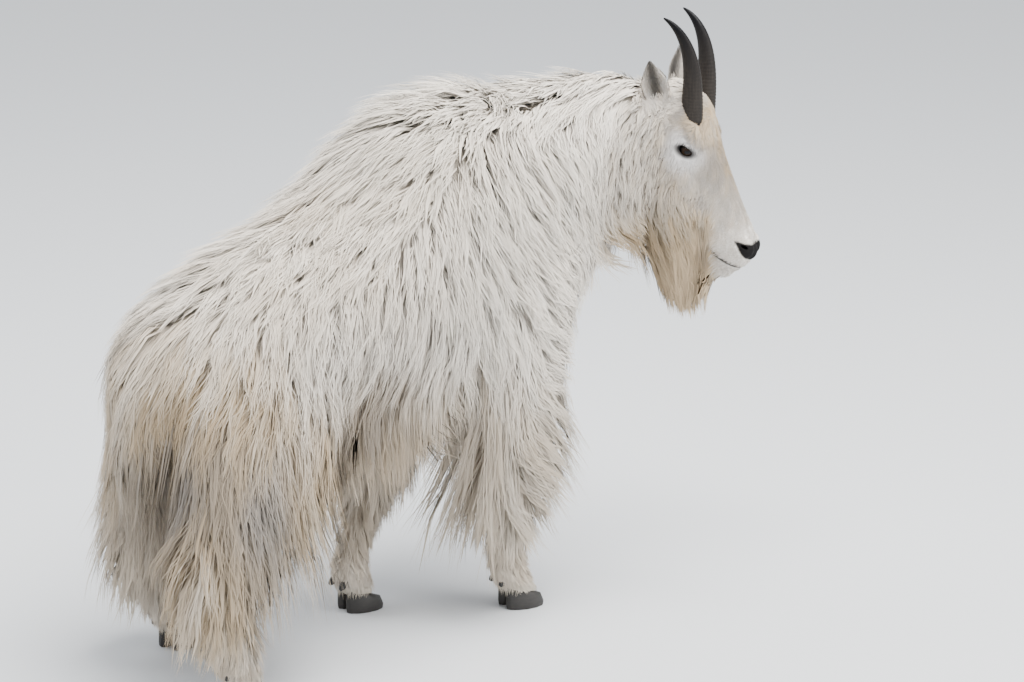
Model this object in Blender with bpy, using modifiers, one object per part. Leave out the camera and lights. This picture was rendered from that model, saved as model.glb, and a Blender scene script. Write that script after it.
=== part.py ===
import bpy
import bmesh
import math
import random
from mathutils import Vector, Matrix
from mathutils.bvhtree import BVHTree

# Sizes in metres. The goat faces -Y, its right side is at -X and the floor is at z = 0.
GAP = 0.0003
CORE_REACH = 0.48
VOXEL = 0.013
ORIGIN_SHIFT = Vector((0.0228, 0.1515, 0.0))

# Torso stations: y, top and bottom of the flesh, half width, coat on top, below and at the side.
TORSO = (
    (-0.485, 0.690, 0.560, 0.060, 0.050, 0.040, 0.040),
    (-0.445, 0.790, 0.475, 0.105, 0.065, 0.060, 0.055),
    (-0.370, 0.880, 0.440, 0.130, 0.080, 0.075, 0.065),
    (-0.280, 0.900, 0.430, 0.142, 0.072, 0.085, 0.068),
    (-0.190, 0.888, 0.430, 0.152, 0.070, 0.090, 0.068),
    (-0.110, 0.845, 0.430, 0.160, 0.068, 0.095, 0.066),
    (-0.020, 0.778, 0.430, 0.164, 0.062, 0.100, 0.064),
    (0.070, 0.732, 0.430, 0.162, 0.058, 0.095, 0.062),
    (0.150, 0.705, 0.440, 0.152, 0.054, 0.080, 0.060),
    (0.230, 0.680, 0.450, 0.140, 0.050, 0.070, 0.060),
    (0.310, 0.640, 0.460, 0.122, 0.046, 0.060, 0.058),
    (0.370, 0.595, 0.480, 0.096, 0.042, 0.050, 0.052),
    (0.405, 0.550, 0.500, 0.056, 0.038, 0.045, 0.048),
)

# Neck stations: centre x, y, z, half width, flesh above and below, coat above, below, side.
NECK = (
    (0.000, -0.330, 0.700, 0.120, 0.185, 0.190, 0.075, 0.060, 0.070),
    (-0.006, -0.410, 0.735, 0.112, 0.155, 0.185, 0.072, 0.065, 0.070),
    (-0.022, -0.490, 0.770, 0.100, 0.125, 0.165, 0.070, 0.070, 0.068),
    (-0.050, -0.555, 0.800, 0.088, 0.100, 0.140, 0.062, 0.075, 0.060),
    (-0.088, -0.615, 0.828, 0.074, 0.084, 0.110, 0.060, 0.060, 0.045),
    (-0.120, -0.650, 0.845, 0.062, 0.062, 0.080, 0.045, 0.035, 0.030),
)

# Leg stations: z, centre x and y, half width, reach to the front and back, coat.
FRONT_RIGHT = (
    (0.640, -0.100, -0.350, 0.050, 0.075, 0.080, 0.050),
    (0.540, -0.118, -0.335, 0.052, 0.075, 0.090, 0.055),
    (0.450, -0.125, -0.322, 0.044, 0.056, 0.066, 0.070),
    (0.360, -0.125, -0.315, 0.035, 0.044, 0.048, 0.076),
    (0.280, -0.125, -0.312, 0.029, 0.034, 0.034, 0.068),
    (0.225, -0.125, -0.310, 0.030, 0.034, 0.031, 0.046),
    (0.175, -0.125, -0.308, 0.023, 0.024, 0.026, 0.022),
    (0.120, -0.125, -0.306, 0.021, 0.022, 0.025, 0.012),
    (0.080, -0.125, -0.310, 0.028, 0.027, 0.031, 0.007),
    (0.050, -0.125, -0.322, 0.029, 0.029, 0.027, 0.005),
    (0.030, -0.125, -0.332, 0.030, 0.030, 0.028, 0.003),
)
FRONT_LEFT = (
    (0.640, 0.100, -0.320, 0.050, 0.075, 0.080, 0.050),
    (0.540, 0.118, -0.300, 0.052, 0.075, 0.090, 0.055),
    (0.450, 0.120, -0.270, 0.044, 0.056, 0.066, 0.070),
    (0.360, 0.110, -0.235, 0.035, 0.044, 0.048, 0.074),
    (0.285, 0.098, -0.200, 0.029, 0.034, 0.034, 0.062),
    (0.230, 0.088, -0.172, 0.030, 0.034, 0.031, 0.034),
    (0.175, 0.078, -0.142, 0.023, 0.024, 0.026, 0.020),
    (0.120, 0.066, -0.110, 0.021, 0.022, 0.025, 0.012),
    (0.080, 0.058, -0.092, 0.028, 0.027, 0.031, 0.007),
    (0.050, 0.055, -0.096, 0.029, 0.029, 0.027, 0.005),
    (0.030, 0.055, -0.104, 0.030, 0.030, 0.028, 0.003),
)
HIND_RIGHT = (
    (0.600, -0.076, 0.235, 0.050, 0.100, 0.085, 0.045),
    (0.520, -0.098, 0.240, 0.064, 0.125, 0.120, 0.052),
    (0.430, -0.122, 0.256, 0.060, 0.110, 0.118, 0.064),
    (0.350, -0.142, 0.290, 0.046, 0.080, 0.084, 0.076),
    (0.280, -0.156, 0.342, 0.034, 0.050, 0.054, 0.076),
    (0.228, -0.160, 0.382, 0.029, 0.033, 0.044, 0.062),
    (0.180, -0.164, 0.379, 0.024, 0.025, 0.030, 0.042),
    (0.125, -0.168, 0.362, 0.021, 0.022, 0.025, 0.020),
    (0.080, -0.170, 0.348, 0.028, 0.027, 0.031, 0.010),
    (0.050, -0.170, 0.336, 0.029, 0.029, 0.027, 0.005),
    (0.030, -0.170, 0.326, 0.030, 0.030, 0.028, 0.003),
)
HIND_LEFT_SHIFT = -0.060
HIND_LEFT_SWING = 0.030

# Feet: x, y and heading of the toes from -Y towards -X, in degrees.
FEET = {
    "front_right": (-0.125, -0.332, 12.0),
    "front_left": (0.055, -0.104, 8.0),
    "hind_right": (-0.170, 0.326, 14.0),
    "hind_left": (0.120, 0.250, -12.0),
}
CLAW_LENGTH = 0.072
CLAW_WIDTH = 0.032
CLAW_HEIGHT = 0.044
CLAW_SPREAD = 0.0185
DEWCLAW_RADIUS = 0.008

# The head: middle of the brow line, heading and hang of the face.
HEAD_AT = Vector((-0.160, -0.700, 0.850))
HEAD_HEADING = math.radians(64.0)
FACE_HANG = math.radians(62.0)
HEAD_FORWARD = Vector((-math.sin(HEAD_HEADING), -math.cos(HEAD_HEADING), 0.0))
HEAD_RIGHT = HEAD_FORWARD.cross(Vector((0.0, 0.0, 1.0)))
FACE_AXIS = (HEAD_FORWARD * math.cos(FACE_HANG) - Vector((0.0, 0.0, math.sin(FACE_HANG)))).normalized()
FACE_UP = (HEAD_FORWARD * math.sin(FACE_HANG) + Vector((0.0, 0.0, math.cos(FACE_HANG)))).normalized()

# Head stations along the face: distance, half width, front line, jaw line.
HEAD = (
    (-0.070, 0.036, 0.024, -0.070),
    (-0.050, 0.052, 0.044, -0.100),
    (-0.020, 0.062, 0.058, -0.118),
    (0.015, 0.066, 0.062, -0.124),
    (0.040, 0.065, 0.061, -0.122),
    (0.065, 0.060, 0.059, -0.116),
    (0.095, 0.052, 0.056, -0.106),
    (0.130, 0.044, 0.051, -0.094),
    (0.165, 0.039, 0.045, -0.082),
    (0.200, 0.037, 0.041, -0.074),
    (0.232, 0.036, 0.037, -0.070),
    (0.256, 0.033, 0.029, -0.066),
    (0.274, 0.026, 0.014, -0.060),
    (0.286, 0.015, -0.006, -0.048),
)

# Ruff and beard stations: height over the brow line, back and front edge, half width.
RUFF = (
    (-0.035, -0.060, 0.030, 0.050),
    (-0.090, -0.085, 0.060, 0.062),
    (-0.150, -0.098, 0.080, 0.064),
    (-0.205, -0.094, 0.082, 0.058),
    (-0.255, -0.070, 0.062, 0.046),
    (-0.305, -0.044, 0.045, 0.032),
    (-0.345, -0.024, 0.022, 0.018),
    (-0.372, -0.010, 0.006, 0.006),
)

EYE_ALONG = 0.052
EYE_UP = 0.004
EYE_OUT = 0.0445
EYE_RADIUS = 0.0155
LID = 0.0028
LID_HALF_LENGTH = 0.0128
LID_HALF_HEIGHT = 0.0066

HORN_LENGTH = 0.200
HORN_RADIUS = 0.0185
HORN_BASE_OUT = 0.034
HORN_START = math.radians(87.0)
HORN_CURL = math.radians(66.0)
HORN_BEND = 2.6
HORN_LEAN = math.radians(3.5)
EAR_LENGTH = 0.108
EAR_WIDTH = 0.046
TAIL_LENGTH = 0.100
TAIL_ROOT = Vector((0.0, 0.368, 0.602))

# Locks: spacing of the roots, length, width, thickness, lift of the tip over the core.
LOCKS = {
    "flank": (0.094, 0.225, 0.078, 0.011, 0.046),
    "hump": (0.090, 0.135, 0.080, 0.011, 0.054),
    "back": (0.090, 0.150, 0.078, 0.011, 0.032),
    "belly": (0.080, 0.190, 0.064, 0.011, 0.040),
    "rump": (0.088, 0.205, 0.076, 0.012, 0.038),
    "neck": (0.082, 0.185, 0.070, 0.012, 0.036),
    "crest": (0.084, 0.120, 0.074, 0.011, 0.054),
    "chap": (0.072, 0.165, 0.058, 0.011, 0.030),
    "shin": (0.056, 0.100, 0.040, 0.009, 0.014),
    "ruff": (0.054, 0.125, 0.046, 0.008, 0.013),
    "tail": (0.036, 0.075, 0.030, 0.008, 0.012),
}
LOCK_SEEDS = {
    "torso": 35,
    "neck": 31,
    "head": 31,
    "leg_front_right": 36,
    "leg_front_left": 32,
    "leg_hind_right": 33,
    "leg_hind_left": 24,
}
LOCK_STEP = 0.010
LOCK_ROOT = 0.016
LOCK_SHARES = (0.0, 0.24, 0.52, 0.80)
LOCK_WIDTHS = (0.50, 0.96, 1.0, 0.60)
LOCK_RISES = (0.9, 1.0, 0.9, 0.55)

# Planes that part the nodes: a point and a normal towards the outer node.
NECK_CUT = (Vector((0.0, -0.430, 0.750)), Vector((-0.05, -0.95, 0.30)).normalized())
HEAD_CUT = (HEAD_AT - HEAD_FORWARD * 0.075,
            (HEAD_FORWARD * 0.993 - Vector((0.0, 0.0, 0.120))).normalized())
FRONT_TOP = (Vector((0.0, -0.130, 0.430)), Vector((0.0, -0.15, -1.0)).normalized())
FRONT_REAR = (Vector((0.0, -0.130, 0.410)), Vector((0.0, -0.410, -0.150)).normalized())
HIND_TOP = (Vector((0.0, 0.090, 0.430)), Vector((0.0, 0.10, -1.0)).normalized())
HIND_FORE = (Vector((0.0, 0.085, 0.410)), Vector((0.0, 1.0, -0.05)).normalized())
FRONT_SKIRT = (0.125, 0.400, 0.80, 0.60)
HIND_SKIRT = (0.150, 0.430, 0.76, 0.65)
LEFT_OF = (Vector((0.0, 0.0, 0.0)), Vector((1.0, 0.0, 0.0)))
RIGHT_OF = (Vector((0.0, 0.0, 0.0)), Vector((-1.0, 0.0, 0.0)))

SKIN_TONE = (0.80, 0.76, 0.68, 1.0)
HORN_TONE = (0.05, 0.045, 0.04, 1.0)
HOOF_TONE = (0.03, 0.028, 0.026, 1.0)
EYE_TONE = (0.02, 0.012, 0.008, 1.0)


def skirt_plane(sizes, side):
    out, height, across, down = sizes
    return Vector((side * out, 0.0, height)), Vector((-side * across, 0.0, -down)).normalized()


def leg_cell(name):
    side = 1.0 if "left" in name else -1.0
    flank = LEFT_OF if side > 0.0 else RIGHT_OF
    if "front" in name:
        return [FRONT_TOP, FRONT_REAR, flank, skirt_plane(FRONT_SKIRT, side),
                (NECK_CUT[0], -NECK_CUT[1])]
    return [HIND_TOP, HIND_FORE, flank, skirt_plane(HIND_SKIRT, side)]


def clear_scene():
    for old in list(bpy.data.objects):
        bpy.data.objects.remove(old, do_unlink=True)
    for old in list(bpy.data.collections):
        bpy.data.collections.remove(old)


def new_collection(name):
    made = bpy.data.collections.new(name)
    bpy.context.scene.collection.children.link(made)
    return made


def new_material(name, colour, rough):
    made = bpy.data.materials.new(name)
    made.use_nodes = True
    shader = made.node_tree.nodes["Principled BSDF"]
    shader.inputs["Base Color"].default_value = colour
    shader.inputs["Roughness"].default_value = rough
    return made


def object_from(bm, name, collection):
    bmesh.ops.recalc_face_normals(bm, faces=bm.faces)
    mesh = bpy.data.meshes.new(name)
    bm.to_mesh(mesh)
    bm.free()
    made = bpy.data.objects.new(name, mesh)
    collection.objects.link(made)
    return made


def oval_ring(centre, side, up, half_width, above, below, count, power=2.3):
    points = []
    for step in range(count):
        angle = 2.0 * math.pi * step / count
        c = math.cos(angle)
        s = math.sin(angle)
        across = math.copysign(abs(c) ** (2.0 / power), c) * half_width
        rise = math.copysign(abs(s) ** (2.0 / power), s) * (above if s >= 0.0 else below)
        points.append(centre + side * across + up * rise)
    return points


def loft(rings, name, collection):
    bm = bmesh.new()
    loops = [[bm.verts.new(point) for point in ring] for ring in rings]
    count = len(loops[0])
    for lower, upper in zip(loops, loops[1:]):
        for step in range(count):
            after = (step + 1) % count
            bm.faces.new((lower[step], lower[after], upper[after]))
            bm.faces.new((lower[step], upper[after], upper[step]))
    bm.faces.new(loops[0])
    bm.faces.new(loops[-1])
    return object_from(bm, name, collection)


def apply_modifiers(item):
    bpy.context.view_layer.update()
    graph = bpy.context.evaluated_depsgraph_get()
    shaped = bpy.data.meshes.new_from_object(item.evaluated_get(graph))
    item.modifiers.clear()
    item.data = shaped


def combine(item, other, operation, solver="EXACT"):
    cut = item.modifiers.new("combine", "BOOLEAN")
    cut.operation = operation
    cut.solver = solver
    cut.object = other
    apply_modifiers(item)


def discard(item):
    bpy.data.objects.remove(item, do_unlink=True)


def copy_of(item, name, collection):
    made = bpy.data.objects.new(name, item.data.copy())
    collection.objects.link(made)
    return made


def keep_largest(item):
    bm = bmesh.new()
    bm.from_mesh(item.data)
    left = set(bm.verts)
    groups = []
    while left:
        seed = left.pop()
        group = {seed}
        edge = [seed]
        while edge:
            vert = edge.pop()
            for link in vert.link_edges:
                other = link.other_vert(vert)
                if other not in group:
                    group.add(other)
                    edge.append(other)
        left -= group
        groups.append(group)
    groups.sort(key=len)
    for group in groups[:-1]:
        bmesh.ops.delete(bm, geom=list(group), context="VERTS")
    bm.to_mesh(item.data)
    bm.free()


def cell_block(planes, margin, name, collection):
    bm = bmesh.new()
    bmesh.ops.create_cube(bm, size=4.0)
    for point, normal in planes:
        geometry = list(bm.verts) + list(bm.edges) + list(bm.faces)
        cut = bmesh.ops.bisect_plane(bm, geom=geometry, plane_co=point + normal * margin,
                                     plane_no=normal, clear_inner=True)
        rim = [part for part in cut["geom_cut"] if isinstance(part, bmesh.types.BMEdge)]
        bmesh.ops.contextual_create(bm, geom=rim)
    return object_from(bm, name, collection)


def torso_rings(reach):
    rings = []
    side = Vector((1.0, 0.0, 0.0))
    up = Vector((0.0, 0.0, 1.0))
    for y, top, bottom, half, coat_top, coat_bottom, coat_side in TORSO:
        middle = bottom + (top - bottom) * 0.48
        centre = Vector((0.0, y, middle))
        rings.append(oval_ring(centre, side, up, half + coat_side * reach,
                               top - middle + coat_top * reach,
                               middle - bottom + coat_bottom * reach, 28, 2.05))
    first = TORSO[0]
    last = TORSO[-1]
    rings.insert(0, end_ring(rings[0], Vector((0.0, -0.02 - first[6] * reach * 0.5, 0.0))))
    rings.append(end_ring(rings[-1], Vector((0.0, 0.015 + last[6] * reach * 0.8, 0.0))))
    return rings


def end_ring(ring, offset, shrink=0.45):
    centre = sum(ring, Vector()) / len(ring)
    return [centre + (point - centre) * shrink + offset for point in ring]


def neck_rings(reach):
    rings = []
    centres = [Vector(row[:3]) for row in NECK]
    for index, row in enumerate(NECK):
        before = centres[max(index - 1, 0)]
        after = centres[min(index + 1, len(NECK) - 1)]
        along = (after - before).normalized()
        side = along.cross(Vector((0.0, 0.0, 1.0))).normalized()
        up = side.cross(along).normalized()
        half, above, below, coat_above, coat_below, coat_side = row[3:]
        rings.append(oval_ring(centres[index], side, up, half + coat_side * reach,
                               above + coat_above * reach, below + coat_below * reach, 24, 2.15))
    return rings


def leg_rings(stations, reach):
    rings = []
    for z, x, y, half, fore, back, coat in stations:
        centre = Vector((x, y, z))
        rings.append(oval_ring(centre, Vector((1.0, 0.0, 0.0)), Vector((0.0, 1.0, 0.0)),
                               half + coat * reach, back + coat * reach,
                               fore + coat * reach, 20, 2.1))
    return rings


def hind_left_stations():
    rows = []
    for z, x, y, half, fore, back, coat in HIND_RIGHT:
        swing = max(0.0, min(1.0, (0.55 - z) / 0.35))
        rows.append((z, -x - swing * (HIND_LEFT_SWING + 0.02), y + HIND_LEFT_SHIFT * swing
                     - 0.016 * swing, half, fore, back, coat))
    return tuple(rows)


LEGS = {
    "front_right": FRONT_RIGHT,
    "front_left": FRONT_LEFT,
    "hind_right": HIND_RIGHT,
    "hind_left": hind_left_stations(),
}


def fused_body(reach, scratch):
    pieces = [loft(torso_rings(reach), "torso_form", scratch),
              loft(neck_rings(reach), "neck_form", scratch)]
    for key, stations in LEGS.items():
        pieces.append(loft(leg_rings(stations, reach), key + "_form", scratch))
    bm = bmesh.new()
    for piece in pieces:
        bm.from_mesh(piece.data)
        discard(piece)
    body = object_from(bm, "body_form", scratch)
    fuse = body.modifiers.new("fuse", "REMESH")
    fuse.mode = "VOXEL"
    fuse.voxel_size = VOXEL
    soften = body.modifiers.new("soften", "SMOOTH")
    soften.factor = 0.5
    soften.iterations = 5
    thin = body.modifiers.new("thin", "DECIMATE")
    thin.ratio = 0.034
    thin.use_collapse_triangulate = True
    apply_modifiers(body)
    return body


def head_point(along, out, up):
    return HEAD_AT + FACE_AXIS * along + HEAD_RIGHT * out + FACE_UP * up


def head_form(collection, inset=0.0):
    rings = []
    for along, half, front, jaw in HEAD:
        half -= inset
        front -= inset
        jaw += inset
        along -= inset
        middle = (front + jaw) * 0.5
        centre = head_point(along, 0.0, middle)
        rings.append(oval_ring(centre, HEAD_RIGHT, FACE_UP, half, front - middle,
                               middle - jaw, 16, 2.2))
    return loft(rings, "head_form", collection)


def ruff_form(reach, collection):
    rings = []
    for height, back, front, half in RUFF:
        share = 0.64 + 0.36 * reach
        rise = height * (1.0 if height > -0.2 else 1.0 - (1.0 - reach) * 0.25)
        middle = (back + front) * 0.5
        deep = (front - back) * 0.5 * share
        centre = HEAD_AT + HEAD_FORWARD * middle + Vector((0.0, 0.0, rise))
        rings.append(oval_ring(centre, HEAD_RIGHT, HEAD_FORWARD, half * share, deep, deep, 12, 2.0))
    return loft(rings, "ruff_form", collection)


def ball(centre, radii, name, collection, frame=None, segments=12, rings=7):
    bm = bmesh.new()
    bmesh.ops.create_uvsphere(bm, u_segments=segments, v_segments=rings, radius=1.0)
    matrix = Matrix.Diagonal((radii[0], radii[1], radii[2], 1.0))
    if frame is not None:
        matrix = frame.to_4x4() @ matrix
    matrix = Matrix.Translation(centre) @ matrix
    bmesh.ops.transform(bm, matrix=matrix, verts=bm.verts)
    return object_from(bm, name, collection)


def face_frame(side):
    return Matrix((HEAD_RIGHT * side, FACE_AXIS, FACE_UP)).transposed()


def horn_path(side, share, root=0.0):
    steps = 40
    forward = 0.0
    rise = 0.0
    for step in range(steps):
        angle = HORN_START + HORN_CURL * (share * (step + 0.5) / steps) ** HORN_BEND
        forward += math.cos(angle) * HORN_LENGTH * share / steps
        rise += math.sin(angle) * HORN_LENGTH * share / steps
    angle = HORN_START + HORN_CURL * share ** HORN_BEND
    out = side * (HORN_BASE_OUT + math.sin(HORN_LEAN) * HORN_LENGTH * share + 0.006 * share * share)
    base = head_point(0.005, 0.0, 0.033)
    at = base + HEAD_FORWARD * forward + Vector((0.0, 0.0, rise)) + HEAD_RIGHT * out
    along = (HEAD_FORWARD * math.cos(angle) + Vector((0.0, 0.0, math.sin(angle)))
             + HEAD_RIGHT * side * math.sin(HORN_LEAN)).normalized()
    return at - along * root, along


def horn(side, grow, name, collection):
    rings = []
    count = 14
    for step in range(count + 1):
        share = step / count
        root = 0.016 + grow if step == 0 else 0.0
        at, along = horn_path(side, share, root)
        across = HEAD_RIGHT.cross(along).normalized()
        out = along.cross(across).normalized()
        radius = HORN_RADIUS * (1.0 - share ** 1.5) ** 0.8 + 0.0016
        rings.append(oval_ring(at, out, across, radius * 0.84 + grow, radius * 1.08 + grow,
                               radius * 1.08 + grow, 10, 2.0))
    return loft(rings, name, collection)


def ear(side, grow, name, collection):
    root = head_point(-0.030, side * 0.050, -0.008)
    along = (Vector((0.0, 0.0, 1.0)) * 0.93 + HEAD_RIGHT * side * 0.34
             - HEAD_FORWARD * 0.10).normalized()
    open_to = (HEAD_RIGHT * side * 0.88 + HEAD_FORWARD * 0.42)
    open_to = (open_to - along * open_to.dot(along)).normalized()
    across = along.cross(open_to).normalized()
    rings = []
    count = 8
    for step in range(count + 1):
        share = step / count
        width = EAR_WIDTH * 0.5 * (0.42 + 2.3 * share * (1.0 - share) + 0.06 * (1.0 - share))
        if share > 0.55:
            width *= 1.0 - ((share - 0.55) / 0.45) ** 1.6 * 0.86
        deep = width * (0.95 - 0.45 * share)
        hollow = max(0.0, math.sin(math.pi * min(1.0, max(0.0, (share - 0.12) / 0.86)))) * 0.72
        at = root + along * (EAR_LENGTH * share - (0.02 + grow if step == 0 else 0.0))
        ring = []
        for k in range(9):
            angle = math.pi * k / 8.0
            ring.append(at + across * math.cos(angle) * (width + grow)
                        - open_to * math.sin(angle) * (deep + grow))
        for k in range(1, 6):
            angle = math.pi * (1.0 - k / 6.0)
            inner = math.sin(angle) * (deep - 0.0045) * hollow
            ring.append(at + across * math.cos(angle) * (width - 0.002 * hollow)
                        - open_to * inner + open_to * (0.001 + grow))
        rings.append(ring)
    return loft(rings, name, collection)


def claw(foot, side, grow, name, collection):
    x, y, heading = FEET[foot]
    turn = math.radians(heading)
    toe = Vector((-math.sin(turn), -math.cos(turn), 0.0))
    out = toe.cross(Vector((0.0, 0.0, 1.0)))
    base = Vector((x, y, 0.0)) + out * side * CLAW_SPREAD + toe * 0.006
    splay = math.radians(7.0) * side
    axis = (toe * math.cos(splay) + out * math.sin(splay)).normalized()
    across = axis.cross(Vector((0.0, 0.0, 1.0)))
    levels = ((0.0, 1.0, 0.0), (0.008, 1.03, 0.0), (0.024, 0.94, -0.003), (CLAW_HEIGHT, 0.70, -0.010))
    rings = []
    for height, share, shift in levels:
        ring = []
        for step in range(12):
            angle = 2.0 * math.pi * step / 12
            lengthwise = math.cos(angle)
            sidewise = math.sin(angle)
            taper = 1.0 - 0.28 * max(0.0, lengthwise) ** 2
            drop = 0.007 * (1.0 + lengthwise) if height == CLAW_HEIGHT else 0.0
            z = height - drop + (grow if height > 0.01 else (-grow if height == 0.0 else 0.0))
            ring.append(base + axis * (lengthwise * (CLAW_LENGTH * 0.5 * share + grow) + shift)
                        + across * (sidewise * (CLAW_WIDTH * 0.5 * share * taper + grow))
                        + Vector((0.0, 0.0, z)))
        rings.append(ring)
    return loft(rings, name, collection)


def dewclaw(foot, side, name, collection):
    x, y, heading = FEET[foot]
    turn = math.radians(heading)
    toe = Vector((-math.sin(turn), -math.cos(turn), 0.0))
    out = toe.cross(Vector((0.0, 0.0, 1.0)))
    top = Vector((x, y, 0.072)) - toe * 0.022 + out * side * 0.015
    tip = Vector((x, y, 0.048)) - toe * 0.046 + out * side * 0.018
    along = (tip - top).normalized()
    across = along.cross(out).normalized()
    rings = []
    for share, size in ((0.0, 0.9), (0.45, 1.0), (0.8, 0.8), (1.0, 0.35)):
        rings.append(oval_ring(top.lerp(tip, share), out, across, DEWCLAW_RADIUS * size,
                               DEWCLAW_RADIUS * size, DEWCLAW_RADIUS * size, 8, 2.0))
    return loft(rings, name, collection)


def tail(reach, grow, name, collection):
    root = TAIL_ROOT
    tip = root + Vector((0.0, TAIL_LENGTH * 0.74, -TAIL_LENGTH * 0.90))
    along = (tip - root).normalized()
    side = Vector((1.0, 0.0, 0.0))
    up = side.cross(along).normalized()
    rings = []
    for share, half, deep in ((-0.15, 0.018, 0.014), (0.1, 0.022, 0.016), (0.4, 0.024, 0.016),
                              (0.75, 0.018, 0.012), (1.0, 0.007, 0.006)):
        coat = 0.014 * reach * (1.0 - 0.4 * share)
        at = root.lerp(tip, share) + along * math.copysign(grow, share)
        rings.append(oval_ring(at, side, up, half + coat + grow,
                               deep + coat + grow, deep + coat + grow, 12, 2.0))
    return loft(rings, name, collection)


def tree_of(item):
    bm = bmesh.new()
    bm.from_mesh(item.data)
    bmesh.ops.triangulate(bm, faces=bm.faces)
    tree = BVHTree.FromBMesh(bm)
    bm.free()
    return tree


def root_points(item, count, rng):
    bm = bmesh.new()
    bm.from_mesh(item.data)
    bmesh.ops.triangulate(bm, faces=bm.faces)
    faces = list(bm.faces)
    areas = []
    total = 0.0
    for face in faces:
        total += face.calc_area()
        areas.append(total)
    points = []
    for _ in range(count):
        pick = rng.random() * total
        low = 0
        high = len(areas) - 1
        while low < high:
            middle = (low + high) // 2
            if areas[middle] < pick:
                low = middle + 1
            else:
                high = middle
        a, b, c = (vert.co for vert in faces[low].verts)
        u = rng.random()
        v = rng.random()
        if u + v > 1.0:
            u = 1.0 - u
            v = 1.0 - v
        points.append((a + (b - a) * u + (c - a) * v, faces[low].normal.copy()))
    bm.free()
    return points


def inside(point, planes, margin):
    return all((point - at).dot(normal) >= margin for at, normal in planes)


def lay_path(root, normal, length, lift, flow, tree, planes, blocks):
    points = [root - normal * LOCK_ROOT]
    normals = [normal]
    at = root.copy()
    out = normal.copy()
    travelled = 0.0
    while travelled < length:
        along = flow(at, out)
        along = along - out * along.dot(out) * (0.85 if out.z > -0.35 else 0.15)
        if along.length < 1e-5:
            break
        at = at + along.normalized() * LOCK_STEP
        travelled += LOCK_STEP
        share = travelled / length
        near, face_normal, _, _ = tree.find_nearest(at)
        if near is None:
            break
        before = points[-1] if len(points) > 1 else root
        height = 0.002 + (lift - 0.002) * min(1.0, share * 1.25) ** 1.2
        signed = (at - near).dot(face_normal)
        if face_normal.z < -0.35 and signed > height:
            out = (out * 0.8 + face_normal * 0.2).normalized()
        elif signed < height:
            at = near + face_normal * height
            out = (out * 0.5 + face_normal * 0.5).normalized()
        else:
            at = at.lerp(near + face_normal * height, 0.55)
            out = (out * 0.6 + face_normal * 0.4).normalized()
        if (at - before).length > LOCK_STEP * 2.2:
            break
        if not inside(at, planes, 0.008) or at.z < 0.055:
            break
        if any(block(at) for block in blocks):
            break
        points.append(at.copy())
        normals.append(out.copy())
    return points, normals


def lock_mesh(points, normals, width, thick, planes, sway, name, collection):
    count = len(points)
    if count < 6:
        return None
    rings = []
    for index, share in enumerate(LOCK_SHARES):
        place = int(round(share * (count - 1)))
        at = points[place]
        out = normals[place]
        ahead = points[min(place + 1, count - 1)]
        behind = points[max(place - 1, 0)]
        along = (ahead - behind).normalized()
        side = along.cross(out)
        if side.length < 0.2:
            return None
        side = side.normalized()
        up = side.cross(along).normalized()
        half = width * 0.5 * LOCK_WIDTHS[index]
        rise = thick * LOCK_RISES[index]
        at = at + side * sway * math.sin(math.pi * share * 1.4)
        for shrink in (1.0, 0.8, 0.6, 0.4):
            corners = [at - side * half * shrink - up * rise * 0.30,
                       at + side * half * shrink - up * rise * 0.30,
                       at + up * rise * 0.70 + side * half * 0.12]
            if all(inside(corner, planes, GAP * 0.5 + 0.0002) and corner.z > 0.048
                   for corner in corners):
                break
        else:
            return None
        rings.append(corners)
    tip = points[-1]
    if not inside(tip, planes, GAP):
        return None
    bm = bmesh.new()
    loops = [[bm.verts.new(corner) for corner in ring] for ring in rings]
    end = bm.verts.new(tip)
    for lower, upper in zip(loops, loops[1:]):
        for step in range(3):
            after = (step + 1) % 3
            bm.faces.new((lower[step], lower[after], upper[after]))
            bm.faces.new((lower[step], upper[after], upper[step]))
    for step in range(3):
        bm.faces.new((loops[-1][step], loops[-1][(step + 1) % 3], end))
    bm.faces.new(loops[0])
    return object_from(bm, name, collection)


def coat_flow(kind):
    def flow(at, out):
        side = 1.0 if at.x > 0.0 else -1.0
        if kind == "flank":
            lean = 0.10 + 0.45 * (at.y + 0.05)
            return Vector((0.0, lean, -1.0))
        if kind in ("hump", "back"):
            return Vector((side * 0.7, 0.55, -0.5))
        if kind == "belly":
            return Vector((0.0, 0.10, -1.0))
        if kind == "rump":
            return Vector((side * 0.10, 0.45, -1.0))
        if kind == "neck":
            far = min(1.0, abs((at - HEAD_CUT[0]).dot(HEAD_CUT[1])) / 0.12)
            near_head = Vector((0.0, 0.0, -1.0)) - HEAD_FORWARD * 0.20
            return near_head.lerp(Vector((0.0, -0.32, -1.0)), far)
        if kind == "crest":
            return Vector((side * 0.8, 0.10, -0.3))
        return Vector((0.0, 0.12, -1.0))
    return flow


def turned(flow, angle):
    def bent(at, out):
        return Matrix.Rotation(angle, 3, out) @ flow(at, out)
    return bent


def torso_kind(point, normal):
    if normal.z < -0.55:
        return "belly"
    if normal.z > 0.72:
        return "hump" if point.y < -0.060 else "back"
    if point.y > 0.22:
        return "rump"
    return "flank"


def torso_planes(point):
    planes = [(NECK_CUT[0], -NECK_CUT[1])]
    side = 1.0 if point.x > 0.0 else -1.0
    if point.y < -0.130:
        lower = FRONT_TOP if abs(point.x) < 0.145 else skirt_plane(FRONT_SKIRT, side)
    else:
        lower = FRONT_REAR
    planes.append((lower[0], -lower[1]))
    if point.y > 0.090:
        lower = HIND_TOP if abs(point.x) < 0.135 else skirt_plane(HIND_SKIRT, side)
    else:
        lower = HIND_FORE
    planes.append((lower[0], -lower[1]))
    return planes


def leg_kind(point, normal):
    if point.z > 0.27:
        return "chap"
    if point.z > 0.130:
        return "shin"
    return None


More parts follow.
